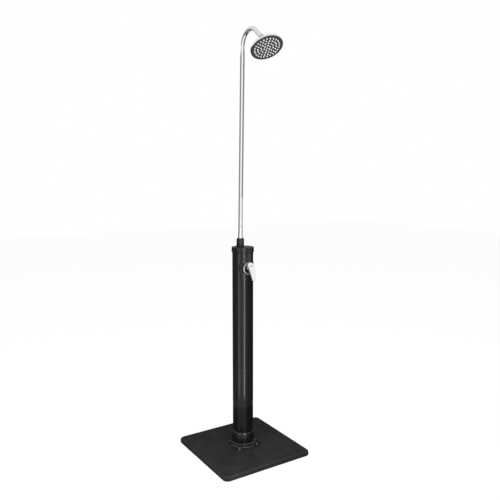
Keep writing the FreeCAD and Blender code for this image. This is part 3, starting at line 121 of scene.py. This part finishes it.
class MetalFinish(bpy.types.PropertyGroup):
    """Colours and polish of the metal pieces."""

    chrome: colour("Chrome", "Colour of the polished chrome", (0.78, 0.79, 0.80))
    chrome_rough: share("Chrome roughness", "How dull the chrome is", 0.09)
    satin: colour("Satin chrome", "Colour of the ring behind the lever", (0.34, 0.34, 0.355))
    satin_rough: share("Satin roughness", "How dull the ring behind the lever is", 0.5)
    zinc: colour("Zinc", "Colour of the plated bolts", (0.50, 0.51, 0.52))
    brass: colour("Brass", "Colour of the inner brass pieces", (0.72, 0.52, 0.24))


class SoftFinish(bpy.types.PropertyGroup):
    """Colours of the spray face, the nozzles and the seals."""

    face: colour("Spray face", "Colour of the dark spray face", (0.040, 0.040, 0.043))
    nozzle: colour("Nozzles", "Colour of the silicone nozzles", (0.80, 0.81, 0.82))
    rubber: colour("Rubber", "Colour of the seals and washers", (0.018, 0.018, 0.018))
    plug: colour("Plug", "Colour of the cover over the lever's screw", (0.50, 0.50, 0.52))
    warm: colour("Warm mark", "Colour of the mark for warm water", (0.16, 0.03, 0.025))
    cool: colour("Cool mark", "Colour of the mark for cool water", (0.02, 0.04, 0.16))
    mark_radius: length("Mark radius", "Radius of the two enamel marks on the lever", 0.0017)
    mark_place: length("Mark place", "Distance of each mark from the middle of the lever", 0.0095)


class Studio(bpy.types.PropertyGroup):
    """Camera and light."""

    eye: FloatVectorProperty(
        name="Camera", description="Place of the camera", subtype="TRANSLATION", unit="LENGTH",
        size=3, default=(-1.4682, -2.3705, 1.3938),
    )
    tilt: FloatProperty(
        name="Tilt", description="Tilt of the camera, from straight down", subtype="ANGLE",
        unit="ROTATION", default=math.radians(82.85),
    )
    turn: FloatProperty(
        name="Turn", description="Turn of the camera about the vertical", subtype="ANGLE",
        unit="ROTATION", default=math.radians(-32.52),
    )
    lens: FloatProperty(
        name="Lens", description="Focal length", subtype="DISTANCE_CAMERA", min=1, default=40.43
    )
    floor: colour("Floor", "Colour of the floor", (0.90, 0.90, 0.90))
    shade: share("Shadow", "How much of its light the floor shows to the camera", 0.14)
    low_wall: share("Low walls", "Grey of the studio walls that the tank reflects", 0.12)
    high_wall: share("High walls", "Grey of the studio walls that the chrome reflects", 0.30)
    dark: share("Dark cards", "Grey of the cards behind and below the post", 0.02)
    window: share("Front", "Grey of the front of the studio, as the tank reflects it", 0.6)


def settings():
    """The scene, which holds the settings groups."""
    return bpy.context.scene


# ------------------------------------------------------------------ node helpers


def new_group(name, inputs, outputs):
    """A shader node group with named float inputs and outputs."""
    group = bpy.data.node_groups.new(name, "ShaderNodeTree")
    for label, kind, default in inputs:
        socket = group.interface.new_socket(label, in_out="INPUT", socket_type=kind)
        socket.default_value = default
    for label, kind in outputs:
        group.interface.new_socket(label, in_out="OUTPUT", socket_type=kind)
    start = group.nodes.new("NodeGroupInput")
    end = group.nodes.new("NodeGroupOutput")
    return group, start, end


def math_node(nodes, kind, first=None, second=None):
    """A math node with its fixed inputs filled in."""
    node = nodes.new("ShaderNodeMath")
    node.operation = kind
    if first is not None:
        node.inputs[0].default_value = first
    if second is not None:
        node.inputs[1].default_value = second
    return node


def moulded_grain():
    """Fine grain of a moulding, as a height for bump."""
    if "Moulded Grain" in bpy.data.node_groups:
        return bpy.data.node_groups["Moulded Grain"]
    group, start, end = new_group(
        "Moulded Grain",
        [("Scale", "NodeSocketFloat", 900.0), ("Coarse", "NodeSocketFloat", 0.25)],
        [("Height", "NodeSocketFloat")],
    )
    nodes, links = group.nodes, group.links
    place = nodes.new("ShaderNodeTexCoord")
    fine = nodes.new("ShaderNodeTexNoise")
    fine.inputs["Detail"].default_value = 3
    fine.inputs["Roughness"].default_value = 0.6
    links.new(place.outputs["Object"], fine.inputs["Vector"])
    links.new(start.outputs["Scale"], fine.inputs["Scale"])
    cells = nodes.new("ShaderNodeTexVoronoi")
    coarse_scale = math_node(nodes, "MULTIPLY", None, 0.35)
    links.new(start.outputs["Scale"], coarse_scale.inputs[0])
    links.new(place.outputs["Object"], cells.inputs["Vector"])
    links.new(coarse_scale.outputs[0], cells.inputs["Scale"])
    weighed = math_node(nodes, "MULTIPLY")
    links.new(cells.outputs["Distance"], weighed.inputs[0])
    links.new(start.outputs["Coarse"], weighed.inputs[1])
    total = math_node(nodes, "ADD")
    links.new(fine.outputs["Fac"], total.inputs[0])
    links.new(weighed.outputs[0], total.inputs[1])
    links.new(total.outputs[0], end.inputs["Height"])
    return group


def handling_marks():
    """Slow, uneven variation that dust, water and hands leave on a surface."""
    if "Handling Marks" in bpy.data.node_groups:
        return bpy.data.node_groups["Handling Marks"]
    group, start, end = new_group(
        "Handling Marks",
        [("Scale", "NodeSocketFloat", 6.0), ("Low", "NodeSocketFloat", 0.4),
         ("High", "NodeSocketFloat", 0.6), ("From", "NodeSocketFloat", 0.0),
         ("To", "NodeSocketFloat", 1.0)],
        [("Value", "NodeSocketFloat")],
    )
    nodes, links = group.nodes, group.links
    place = nodes.new("ShaderNodeTexCoord")
    slow = nodes.new("ShaderNodeTexNoise")
    slow.inputs["Detail"].default_value = 5
    slow.inputs["Roughness"].default_value = 0.55
    slow.inputs["Distortion"].default_value = 0.3
    spread = nodes.new("ShaderNodeMapRange")
    links.new(place.outputs["Object"], slow.inputs["Vector"])
    links.new(start.outputs["Scale"], slow.inputs["Scale"])
    links.new(slow.outputs["Fac"], spread.inputs["Value"])
    ends = {"Low": "From Min", "High": "From Max", "From": "To Min", "To": "To Max"}
    for label, socket in ends.items():
        links.new(start.outputs[label], spread.inputs[socket])
    links.new(spread.outputs["Result"], end.inputs["Value"])
    return group


def edge_wear_and_highlight():
    """A mask that is one on edges and zero elsewhere: rubbed edges on the plate, a painted highlight on
    the foot flange's rims.
    """
    if "Edge Wear And Highlight" in bpy.data.node_groups:
        return bpy.data.node_groups["Edge Wear And Highlight"]
    group, start, end = new_group(
        "Edge Wear And Highlight",
        [("Width", "NodeSocketFloat", 0.001), ("Strength", "NodeSocketFloat", 1.0)],
        [("Mask", "NodeSocketFloat")],
    )
    nodes, links = group.nodes, group.links
    soft = nodes.new("ShaderNodeBevel")
    soft.samples = 4
    plain = nodes.new("ShaderNodeNewGeometry")
    dot = nodes.new("ShaderNodeVectorMath")
    dot.operation = "DOT_PRODUCT"
    turned = math_node(nodes, "SUBTRACT", 1.0)
    sharpened = math_node(nodes, "MULTIPLY", None, 6.0)
    broken = nodes.new("ShaderNodeTexNoise")
    broken.inputs["Scale"].default_value = 120
    place = nodes.new("ShaderNodeTexCoord")
    patchy = math_node(nodes, "MULTIPLY")
    scaled = math_node(nodes, "MULTIPLY")
    scaled.use_clamp = True
    links.new(start.outputs["Width"], soft.inputs["Radius"])
    links.new(soft.outputs["Normal"], dot.inputs[0])
    links.new(plain.outputs["Normal"], dot.inputs[1])
    links.new(dot.outputs["Value"], turned.inputs[1])
    links.new(turned.outputs[0], sharpened.inputs[0])
    links.new(place.outputs["Object"], broken.inputs["Vector"])
    links.new(sharpened.outputs[0], patchy.inputs[0])
    links.new(broken.outputs["Fac"], patchy.inputs[1])
    links.new(patchy.outputs[0], scaled.inputs[0])
    links.new(start.outputs["Strength"], scaled.inputs[1])
    links.new(scaled.outputs[0], end.inputs["Mask"])
    return group


class Finish:
    """One material and the helpers that wire its effects."""

    def __init__(self, name, base, rough, metallic=0.0):
        self.material = bpy.data.materials.new(name)
        self.material.use_nodes = True
        self.material.diffuse_color = (*base, 1)
        self.nodes = self.material.node_tree.nodes
        self.links = self.material.node_tree.links
        self.shader = self.nodes["Principled BSDF"]
        self.base = tuple(base)
        self.set("Base Color", (*base, 1))
        self.set("Roughness", rough)
        self.set("Metallic", metallic)

    def set(self, socket, value):
        self.shader.inputs[socket].default_value = value

    def group(self, tree, **values):
        node = self.nodes.new("ShaderNodeGroup")
        node.node_tree = tree
        for label, value in values.items():
            node.inputs[label].default_value = value
        return node

    def grain(self, scale, coarse, depth, strength):
        """Moulded grain as bump."""
        grain = self.group(moulded_grain(), Scale=scale, Coarse=coarse)
        bump = self.nodes.new("ShaderNodeBump")
        bump.inputs["Distance"].default_value = depth
        bump.inputs["Strength"].default_value = strength
        self.links.new(grain.outputs["Height"], bump.inputs["Height"])
        self.links.new(bump.outputs["Normal"], self.shader.inputs["Normal"])

    def patches(self, scale, low, high, most):
        """A mask of uneven patches, from zero to most."""
        marks = self.group(handling_marks(), Scale=scale, Low=low, High=high, From=0.0, To=most)
        return marks.outputs["Value"]

    def uneven_gloss(self, scale, low, high):
        """Roughness that drifts between two levels."""
        marks = self.group(handling_marks(), Scale=scale, Low=0.35, High=0.65, From=low, To=high)
        self.links.new(marks.outputs["Value"], self.shader.inputs["Roughness"])

    def tint(self, mask, other):
        """Mix the base colour towards another one by a mask."""
        mix = self.nodes.new("ShaderNodeMix")
        mix.data_type = "RGBA"
        mix.inputs["A"].default_value = (*self.base, 1)
        mix.inputs["B"].default_value = (*other, 1)
        self.links.new(mask, mix.inputs["Factor"])
        self.links.new(mix.outputs["Result"], self.shader.inputs["Base Color"])


# ------------------------------------------------------------------ finishes


def lighter(tone, amount):
    return tuple(min(1.0, part + amount) for part in tone)


def darker(tone, share_left):
    return tuple(part * share_left for part in tone)


def plate_resin(name):
    """Grained black moulding with a little dust and rubbed edges."""
    tones = settings().shower_black
    finish = Finish(name, tones.plate, tones.plate_rough)
    finish.grain(700.0, 0.6, tones.plate_grain, 0.6)
    finish.uneven_gloss(9.0, tones.plate_rough - 0.08, tones.plate_rough + 0.1)
    rub = finish.group(edge_wear_and_highlight(), Width=0.0025, Strength=1.0)
    both = math_node(finish.nodes, "MAXIMUM")
    finish.links.new(rub.outputs["Mask"], both.inputs[0])
    finish.links.new(finish.patches(14.0, 0.45, 0.75, 0.35), both.inputs[1])
    finish.tint(both.outputs[0], lighter(tones.plate, 0.02))
    return finish.material


def orange_peel(name, tone, rough, scale):
    """Smooth black plastic with drifting gloss and a faint orange-peel surface."""
    finish = Finish(name, tone, rough)
    finish.uneven_gloss(scale, rough - 0.04, rough + 0.05)
    finish.grain(220.0, 0.1, 0.00002, 0.3)
    return finish


def black_gloss(name, tone, rough, scale):
    """Smooth black plastic with a trace of dust."""
    finish = orange_peel(name, tone, rough, scale)
    finish.tint(finish.patches(scale * 3, 0.5, 0.8, 0.3), lighter(tone, 0.006))
    return finish.material


def tank_plastic(name):
    tones = settings().shower_black
    return black_gloss(name, tones.tank, tones.tank_rough, 5.0)


def fitting_plastic(name):
    tones = settings().shower_black
    return black_gloss(name, tones.fitting, tones.fitting_rough, 18.0)


def foot_plastic(name):
    """Gloss black moulding whose rims carry a painted highlight, a lighter colour along the edges."""
    tones = settings().shower_black
    finish = orange_peel(name, tones.fitting, tones.foot_rough, 18.0)
    # Painted highlight: the edge mask tints the rims towards the lighter rim colour.
    rub = finish.group(edge_wear_and_highlight(), Width=tones.rim_width, Strength=4.0)
    finish.tint(rub.outputs["Mask"], tones.rim_highlight)
    return finish.material


def polished_metal(name, tone, rough, scale):
    """Plated or polished metal with faint wipe marks."""
    finish = Finish(name, tone, rough, 1.0)
    finish.uneven_gloss(scale, rough * 0.6, rough * 1.5)
    finish.tint(finish.patches(scale * 2, 0.45, 0.8, 0.35), darker(tone, 0.88))
    return finish.material


def chrome_metal(name):
    tones = settings().shower_metal
    return polished_metal(name, tones.chrome, tones.chrome_rough, 30.0)


def satin_metal(name):
    tones = settings().shower_metal
    return polished_metal(name, tones.satin, tones.satin_rough, 60.0)


def zinc_metal(name):
    tones = settings().shower_metal
    finish = Finish(name, tones.zinc, 0.32, 1.0)
    finish.uneven_gloss(160.0, 0.24, 0.42)
    finish.grain(1400.0, 0.3, 0.00005, 0.5)
    return finish.material


def brass_metal(name):
    return polished_metal(name, settings().shower_metal.brass, 0.25, 60.0)


def face_plastic(name):
    tones = settings().shower_soft
    finish = Finish(name, tones.face, 0.25)
    finish.uneven_gloss(40.0, 0.2, 0.33)
    finish.tint(finish.patches(90.0, 0.55, 0.8, 0.4), lighter(tones.face, 0.02))
    return finish.material


def nozzle_silicone(name):
    tones = settings().shower_soft
    finish = Finish(name, tones.nozzle, 0.5)
    finish.uneven_gloss(200.0, 0.42, 0.6)
    finish.tint(finish.patches(260.0, 0.5, 0.75, 0.5), darker(tones.nozzle, 0.8))
    return finish.material


def seal_rubber(name):
    finish = Finish(name, settings().shower_soft.rubber, 0.7)
    finish.grain(1200.0, 0.4, 0.00008, 0.7)
    finish.uneven_gloss(70.0, 0.6, 0.8)
    return finish.material


def pale_plastic(name):
    """Natural plastic and ceramic of the pieces inside."""
    finish = Finish(name, (0.72, 0.71, 0.68), 0.45)
    finish.uneven_gloss(90.0, 0.38, 0.55)
    finish.tint(finish.patches(150.0, 0.5, 0.8, 0.5), (0.6, 0.59, 0.55))
    return finish.material


def index_plastic(name):
    tones = settings().shower_soft
    finish = Finish(name, tones.plug, 0.22)
    finish.uneven_gloss(200.0, 0.18, 0.3)
    finish.tint(finish.patches(400.0, 0.5, 0.8, 0.4), darker(tones.plug, 0.85))
    return finish.material


def mark_enamel(name, tone):
    """Enamel of one mark, a little worn."""
    finish = Finish(name, tone, 0.3)
    finish.uneven_gloss(300.0, 0.25, 0.4)
    finish.tint(finish.patches(900.0, 0.5, 0.8, 0.4), darker(tone, 0.7))
    return finish.material


def warm_enamel(name):
    return mark_enamel(name, settings().shower_soft.warm)


def cool_enamel(name):
    return mark_enamel(name, settings().shower_soft.cool)


FINISHES = {
    "Plate Resin": plate_resin,
    "Tank Plastic": tank_plastic,
    "Fitting Plastic": fitting_plastic,
    "Foot Plastic": foot_plastic,
    "Chrome": chrome_metal,
    "Satin Chrome": satin_metal,
    "Zinc": zinc_metal,
    "Brass": brass_metal,
    "Face Plastic": face_plastic,
    "Nozzle Silicone": nozzle_silicone,
    "Seal Rubber": seal_rubber,
    "Pale Plastic": pale_plastic,
    "Index Plastic": index_plastic,
    "Warm Enamel": warm_enamel,
    "Cool Enamel": cool_enamel,
}


def finish(name):
    """The material of this name, made on first use."""
    return bpy.data.materials.get(name) or FINISHES[name](name)


# ------------------------------------------------------------------ pieces


def paint(node, name):
    """Give a framed node its finish."""
    mesh = frame["nodes"][node].data
    mesh.materials.clear()
    mesh.materials.append(finish(name))


def link(mesh, name, body, material):
    """A new piece that rides on a body."""
    mesh.materials.clear()
    mesh.materials.append(material)
    piece = bpy.data.objects.new(name, mesh)
    bpy.context.scene.collection.objects.link(piece)
    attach(piece, body)
    return piece


def smooth_copy(node, name):
    """A merged, smooth-shaded copy that stands for a framed node."""
    source = frame["nodes"][node]
    shape = bmesh.new()
    shape.from_mesh(source.data)
    bmesh.ops.remove_doubles(shape, verts=shape.verts, dist=MERGE_DISTANCE)
    mesh = bpy.data.meshes.new(node + "_finished")
    shape.to_mesh(mesh)
    shape.free()
    if "custom_normal" in mesh.attributes:
        mesh.attributes.remove(mesh.attributes["custom_normal"])
    for face in mesh.polygons:
        face.use_smooth = True
    mesh.set_sharp_from_angle(angle=SMOOTH_ANGLE)
    piece = link(mesh, node + "_finished", source["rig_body"], finish(name))
    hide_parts(node)


class SHOWER_OT_plate(bpy.types.Operator):
    """Finish both halves of the base plate"""

    bl_idname = "shower.plate"
    bl_label = "Base Plate"

    def execute(self, context):
        for node in ("base_plate_left", "base_plate_right"):
            smooth_copy(node, "Plate Resin")
        return {"FINISHED"}


class SHOWER_OT_foot(bpy.types.Operator):
    """Finish the foot flange, its bolts and washers"""

    bl_idname = "shower.foot"
    bl_label = "Foot"

    def execute(self, context):
        smooth_copy("base_flange", "Foot Plastic")
        smooth_copy("flange_bolts", "Zinc")
        smooth_copy("flange_washers", "Zinc")
        for node in ("flange_nuts", "backing_plate"):
            paint(node, "Zinc")
        paint("seam_dowels", "Fitting Plastic")
        return {"FINISHED"}


class SHOWER_OT_tank(bpy.types.Operator):
    """Finish the water tank and its cap"""

    bl_idname = "shower.tank"
    bl_label = "Tank"

    def execute(self, context):
        smooth_copy("tank_tube", "Tank Plastic")
        smooth_copy("top_cap", "Fitting Plastic")
        paint("tank_floor", "Fitting Plastic")
        for node in ("floor_seal", "cap_seal"):
            paint(node, "Seal Rubber")
        return {"FINISHED"}


class SHOWER_OT_riser(bpy.types.Operator):
    """Finish the riser, the gooseneck and the fitting that holds them"""

    bl_idname = "shower.riser"
    bl_label = "Riser"

    def execute(self, context):
        smooth_copy("riser_nut", "Fitting Plastic")
        smooth_copy("riser_gasket", "Seal Rubber")
        for node in ("riser_socket", "riser_pipe", "gooseneck_arm"):
            smooth_copy(node, "Chrome")
        paint("riser_locknut", "Zinc")
        paint("riser_sleeve", "Zinc")
        paint("riser_seal", "Seal Rubber")
        return {"FINISHED"}


class SHOWER_OT_head(bpy.types.Operator):
    """Finish the spray head and its ball joint"""

    bl_idname = "shower.head"
    bl_label = "Spray Head"

    def execute(self, context):
        for node in ("head_back", "head_nut", "ball_stud"):
            smooth_copy(node, "Chrome")
        smooth_copy("head_face", "Face Plastic")
        smooth_copy("nozzle_mat", "Nozzle Silicone")
        smooth_copy("ball_liner", "Pale Plastic")
        for node in ("head_gasket", "stud_washer"):
            paint(node, "Seal Rubber")
        return {"FINISHED"}


class SHOWER_OT_mixer(bpy.types.Operator):
    """Finish the mixer's saddle, bezel and lever"""

    bl_idname = "shower.mixer"
    bl_label = "Mixer"

    def execute(self, context):
        # Painted shade: the cartridge nut, brass in model.json, takes the black fitting finish so that
        # the recess inside the bezel reads dark.
        for node in ("mixer_saddle", "dust_ring", "cartridge_nut"):
            smooth_copy(node, "Fitting Plastic")
        smooth_copy("mixer_bezel", "Satin Chrome")
        smooth_copy("lever_handle", "Chrome")
        smooth_copy("index_plug", "Index Plastic")
        paint("valve_body", "Brass")
        smooth_copy("cartridge_stem", "Brass")
        for node in ("cartridge_body", "cartridge_driver", "ceramic_disc_fixed", "ceramic_disc_moving"):
            paint(node, "Pale Plastic")
        for node in ("stem_pin", "lever_screw"):
            paint(node, "Zinc")
        paint("valve_washer", "Seal Rubber")
        marks = context.scene.shower_soft
        surface, middle = self.lever_surface()
        for name, across, look in (
            ("warm_mark", -marks.mark_place, "Warm Enamel"),
            ("cool_mark", marks.mark_place, "Cool Enamel"),
        ):
            start = middle + Vector((across, -MARK_START, 0))
            self.mark(name, surface, start, marks.mark_radius, look)
        return {"FINISHED"}

    def lever_surface(self):
        """The lever's surface, to cast rays on, and the middle of its plug."""
        plug = frame["nodes"]["index_plug"]
        corners = [plug.matrix_world @ Vector(corner) for corner in plug.bound_box]
        handle = frame["nodes"]["lever_handle"]
        shape = bmesh.new()
        shape.from_mesh(handle.data)
        shape.transform(handle.matrix_world)
        surface = BVHTree.FromBMesh(shape)
        shape.free()
        return surface, sum(corners, Vector()) / len(corners)

    def mark(self, name, surface, start, radius, look):
        """A thin enamel dot let into the front of the lever, behind a start point."""
        spot, outwards, _, _ = surface.ray_cast(start, Vector((0, 1, 0)))
        turn = outwards.to_track_quat("Z", "Y").to_matrix().to_4x4()
        dot = bmesh.new()
        bmesh.ops.create_cone(
            dot, cap_ends=True, segments=MARK_SIDES, radius1=radius, radius2=radius,
            depth=MARK_DEPTH, matrix=Matrix.Translation(spot) @ turn,
        )
        bmesh.ops.bevel(
            dot, geom=dot.edges[:], offset=MARK_DEPTH / 4, offset_type="OFFSET", affect="EDGES",
            segments=2, profile=0.5, material=-1,
        )
        mesh = bpy.data.meshes.new(name)
        dot.to_mesh(mesh)
        dot.free()
        piece = link(mesh, name, "lever", finish(look))


class SHOWER_OT_plumbing(bpy.types.Operator):
    """Finish the fittings at the back and the pipes inside"""

    bl_idname = "shower.plumbing"
    bl_label = "Plumbing"

    def execute(self, context):
        for node in ("hose_inlet", "drain_bush", "drain_plug"):
            smooth_copy(node, "Fitting Plastic")
        for node in ("inlet_washer", "drain_washer"):
            smooth_copy(node, "Seal Rubber")
        paint("inlet_locknut", "Fitting Plastic")
        for node in ("hot_draw_pipe", "cold_feed_pipe", "riser_feed_pipe"):
            paint(node, "Brass")
        return {"FINISHED"}


# ------------------------------------------------------------------ stage


def area_lamp(name, place, aim, wide, high, power, spread=180):
    """A soft box that faces a point; the cards give its reflection."""
    data = bpy.data.lights.new(name, "AREA")
    data.shape = "RECTANGLE"
    data.size = wide
    data.size_y = high
    data.energy = power
    data.spread = math.radians(spread)
    lamp = bpy.data.objects.new(name, data)
    lamp.location = place
    lamp.rotation_euler = (Vector(aim) - Vector(place)).to_track_quat("-Z", "Y").to_euler()
    lamp.visible_glossy = False
    bpy.context.scene.collection.objects.link(lamp)


def heading(angle):
    """A direction round the post; 0 is towards the camera, positive to its right."""
    eye = settings().shower_studio.eye
    return math.atan2(eye[1], eye[0]) + math.radians(angle)


def polar(angle, distance, height):
    """A place round the post, in the directions of heading."""
    return (distance * math.cos(heading(angle)), distance * math.sin(heading(angle)), height)


def card(name, angles, near, far, grey):
    """A studio card that only reflections see: a line from near to far, each a
    radius and a height, that is swept round the post between two headings."""
    shape = bmesh.new()
    ends = [shape.verts.new(polar(angles[0], radius, height)) for radius, height in (near, far)]
    edge = shape.edges.new(ends)
    span = math.radians(angles[1] - angles[0])
    steps = max(2, round(math.degrees(span) / CARD_STEP))
    bmesh.ops.spin(
        shape, geom=ends + [edge], cent=(0, 0, 0), axis=(0, 0, 1), angle=span, steps=steps
    )
    mesh = bpy.data.meshes.new(name)
    shape.to_mesh(mesh)
    shape.free()
    sheet = bpy.data.objects.new(name, mesh)
    bpy.context.scene.collection.objects.link(sheet)
    for ray in ("camera", "diffuse", "transmission", "volume_scatter", "shadow"):
        setattr(sheet, "visible_" + ray, False)
    material = bpy.data.materials.new(name)
    material.use_nodes = True
    nodes, links = material.node_tree.nodes, material.node_tree.links
    nodes.remove(nodes["Principled BSDF"])
    glow = nodes.new("ShaderNodeEmission")
    glow.inputs["Color"].default_value = WHITE
    glow.inputs["Strength"].default_value = grey
    links.new(glow.outputs[0], nodes["Material Output"].inputs["Surface"])
    mesh.materials.append(material)


def background_rays(nodes, links):
    """One for the rays that show the background: camera, glossy and transmission."""
    path = nodes.new("ShaderNodeLightPath")
    first = math_node(nodes, "MAXIMUM")
    both = math_node(nodes, "MAXIMUM")
    links.new(path.outputs["Is Camera Ray"], first.inputs[0])
    links.new(path.outputs["Is Glossy Ray"], first.inputs[1])
    links.new(first.outputs[0], both.inputs[0])
    links.new(path.outputs["Is Transmission Ray"], both.inputs[1])
    return both.outputs[0]


class SHOWER_OT_stage(bpy.types.Operator):
    """Make the camera, the floor, the white surround, the lamps and the cards"""

    bl_idname = "shower.stage"
    bl_label = "Stage"

    def execute(self, context):
        scene = context.scene
        studio = scene.shower_studio
        data = bpy.data.cameras.new("Camera")
        data.sensor_width = SENSOR_WIDTH
        data.lens = studio.lens
        camera = bpy.data.objects.new("Camera", data)
        camera.location = studio.eye
        camera.rotation_euler = (studio.tilt, 0, studio.turn)
        scene.collection.objects.link(camera)
        scene.camera = camera
        scene.view_settings.view_transform = "Standard"

        shape = bmesh.new()
        bmesh.ops.create_grid(shape, x_segments=1, y_segments=1, size=FLOOR_SIZE)
        mesh = bpy.data.meshes.new("floor")
        shape.to_mesh(mesh)
        shape.free()
        floor = bpy.data.objects.new("floor", mesh)
        scene.collection.objects.link(floor)
        mesh.materials.append(self.floor_material(studio))

        self.surround(scene)
        self.lamps()
        self.cards(studio)
        return {"FINISHED"}

    def lamps(self):
        """Four soft boxes; each line gives place, aim, width, height and power."""
        middle = (0, 0, 1.0)
        area_lamp("left_box", polar(-55, 2.6, 1.8), middle, 1.2, 1.8, 28)
        area_lamp("front_box", polar(25, 3.0, 2.4), middle, 1.2, 1.8, 28)
        area_lamp("top_box", (0.3, -0.6, 3.6), (0, 0, 0.6), 2.4, 2.4, 38)
        area_lamp("low_box", polar(15, 2.0, 0.6), (0, -0.2, 2.0), 1.0, 1.0, 2, 50)

    def cards(self, studio):
        """Walls, strips, ground and ceiling, each between two headings in degrees."""
        wall, strip = 0.62, 0.55
        foot, shoulder, top = (wall, 0.01), (wall, 1.08), (wall, 2.12)
        card("back_wall", (95, 225), foot, shoulder, studio.dark)
        card("left_wall", (225, 292), foot, shoulder, studio.low_wall)
        card("left_fade", (292, 304), foot, shoulder, studio.low_wall * 2.5)
        card("window", (-56, 36), foot, shoulder, studio.window)
        card("right_fade", (36, 62), foot, shoulder, studio.low_wall * 2)
        card("right_wall", (62, 95), foot, shoulder, studio.low_wall)
        card("left_strip", (-47, -31), (strip, 0.1), (strip, 1.08), 1.6)
        card("right_strip", (9, 21), (strip, 0.1), (strip, 1.08), 5.5)
        card("riser_strip", (-8, 14), (strip, 1.08), (strip, 2.1), 1.5)
        card("high_wall", (38, 315), shoulder, top, studio.high_wall)
        card("ground", (0, 360), (0.06, 0.004), (wall, 0.004), studio.dark)
        card("right_ground", (55, 112), (wall, 0.004), (4.5, 0.004), studio.dark * 2)
        card("front_ground", (-56, 36), (0.29, 0.006), (wall, 0.006), studio.window * 0.5)
        card("ceiling", (0, 360), (0.02, 2.6), (1.2, 2.6), 0.9)
        card("lever_card", (48, 90), (0.30, 0.93), (0.30, 1.28), 1.1)

    def floor_material(self, studio):
        """Pale floor that shows white with a faint shadow to the camera."""
        material = bpy.data.materials.new("Floor")
        material.use_nodes = True
        nodes, links = material.node_tree.nodes, material.node_tree.links
        light = nodes["Principled BSDF"]
        shown = nodes.new("ShaderNodeBsdfPrincipled")
        for shader, grey in ((light, studio.floor), (shown, [studio.shade] * 3)):
            shader.inputs["Base Color"].default_value = (*grey, 1)
            shader.inputs["Roughness"].default_value = 0.9
            shader.inputs["Specular IOR Level"].default_value = 0.0
        shown.inputs["Emission Color"].default_value = WHITE
        shown.inputs["Emission Strength"].default_value = FLOOR_SEEN - studio.shade
        mix = nodes.new("ShaderNodeMixShader")
        links.new(background_rays(nodes, links), mix.inputs["Fac"])
        links.new(light.outputs[0], mix.inputs[1])
        links.new(shown.outputs[0], mix.inputs[2])
        links.new(mix.outputs[0], nodes["Material Output"].inputs["Surface"])
        return material

    def surround(self, scene):
        """White to the camera and in reflections, softer as light."""
        world = bpy.data.worlds.new("Studio")
        scene.world = world
        world.use_nodes = True
        nodes, links = world.node_tree.nodes, world.node_tree.links
        light = nodes["Background"]
        seen = nodes.new("ShaderNodeBackground")
        for shader, strength in ((light, SURROUND_LIGHT), (seen, SURROUND_SEEN)):
            shader.inputs["Color"].default_value = WHITE
            shader.inputs["Strength"].default_value = strength
        mix = nodes.new("ShaderNodeMixShader")
        links.new(background_rays(nodes, links), mix.inputs["Fac"])
        links.new(light.outputs[0], mix.inputs[1])
        links.new(seen.outputs[0], mix.inputs[2])
        links.new(mix.outputs[0], nodes["World Output"].inputs["Surface"])


OPERATORS = (
    SHOWER_OT_stage,
    SHOWER_OT_plate,
    SHOWER_OT_foot,
    SHOWER_OT_tank,
    SHOWER_OT_riser,
    SHOWER_OT_head,
    SHOWER_OT_mixer,
    SHOWER_OT_plumbing,
)


class SHOWER_PT_panel(bpy.types.Panel):
    """Sizes, colours and steps of the shower post"""

    bl_idname = "SHOWER_PT_panel"
    bl_label = "Outdoor Shower Post"
    bl_space_type = "VIEW_3D"
    bl_region_type = "UI"
    bl_category = "Shower"

    def draw(self, context):
        for group in GROUPS:
            box = self.layout.box()
            owner = getattr(context.scene, group)
            for name in owner.__annotations__:
                box.prop(owner, name)
        for operator in OPERATORS:
            self.layout.operator(operator.bl_idname)


GROUPS = {
    "shower_black": BlackFinish,
    "shower_metal": MetalFinish,
    "shower_soft": SoftFinish,
    "shower_studio": Studio,
}


def register():
    for name, kind in GROUPS.items():
        bpy.utils.register_class(kind)
        setattr(bpy.types.Scene, name, PointerProperty(type=kind))
    for kind in OPERATORS + (SHOWER_PT_panel,):
        bpy.utils.register_class(kind)


def unregister():
    for kind in reversed(OPERATORS + (SHOWER_PT_panel,)):
        bpy.utils.unregister_class(kind)
    for name, kind in GROUPS.items():
        delattr(bpy.types.Scene, name)
        bpy.utils.unregister_class(kind)


def main():
    register()
    for operator in OPERATORS:
        family, step = operator.bl_idname.split(".")
        getattr(getattr(bpy.ops, family), step)()


if __name__ == "__main__":
    main()
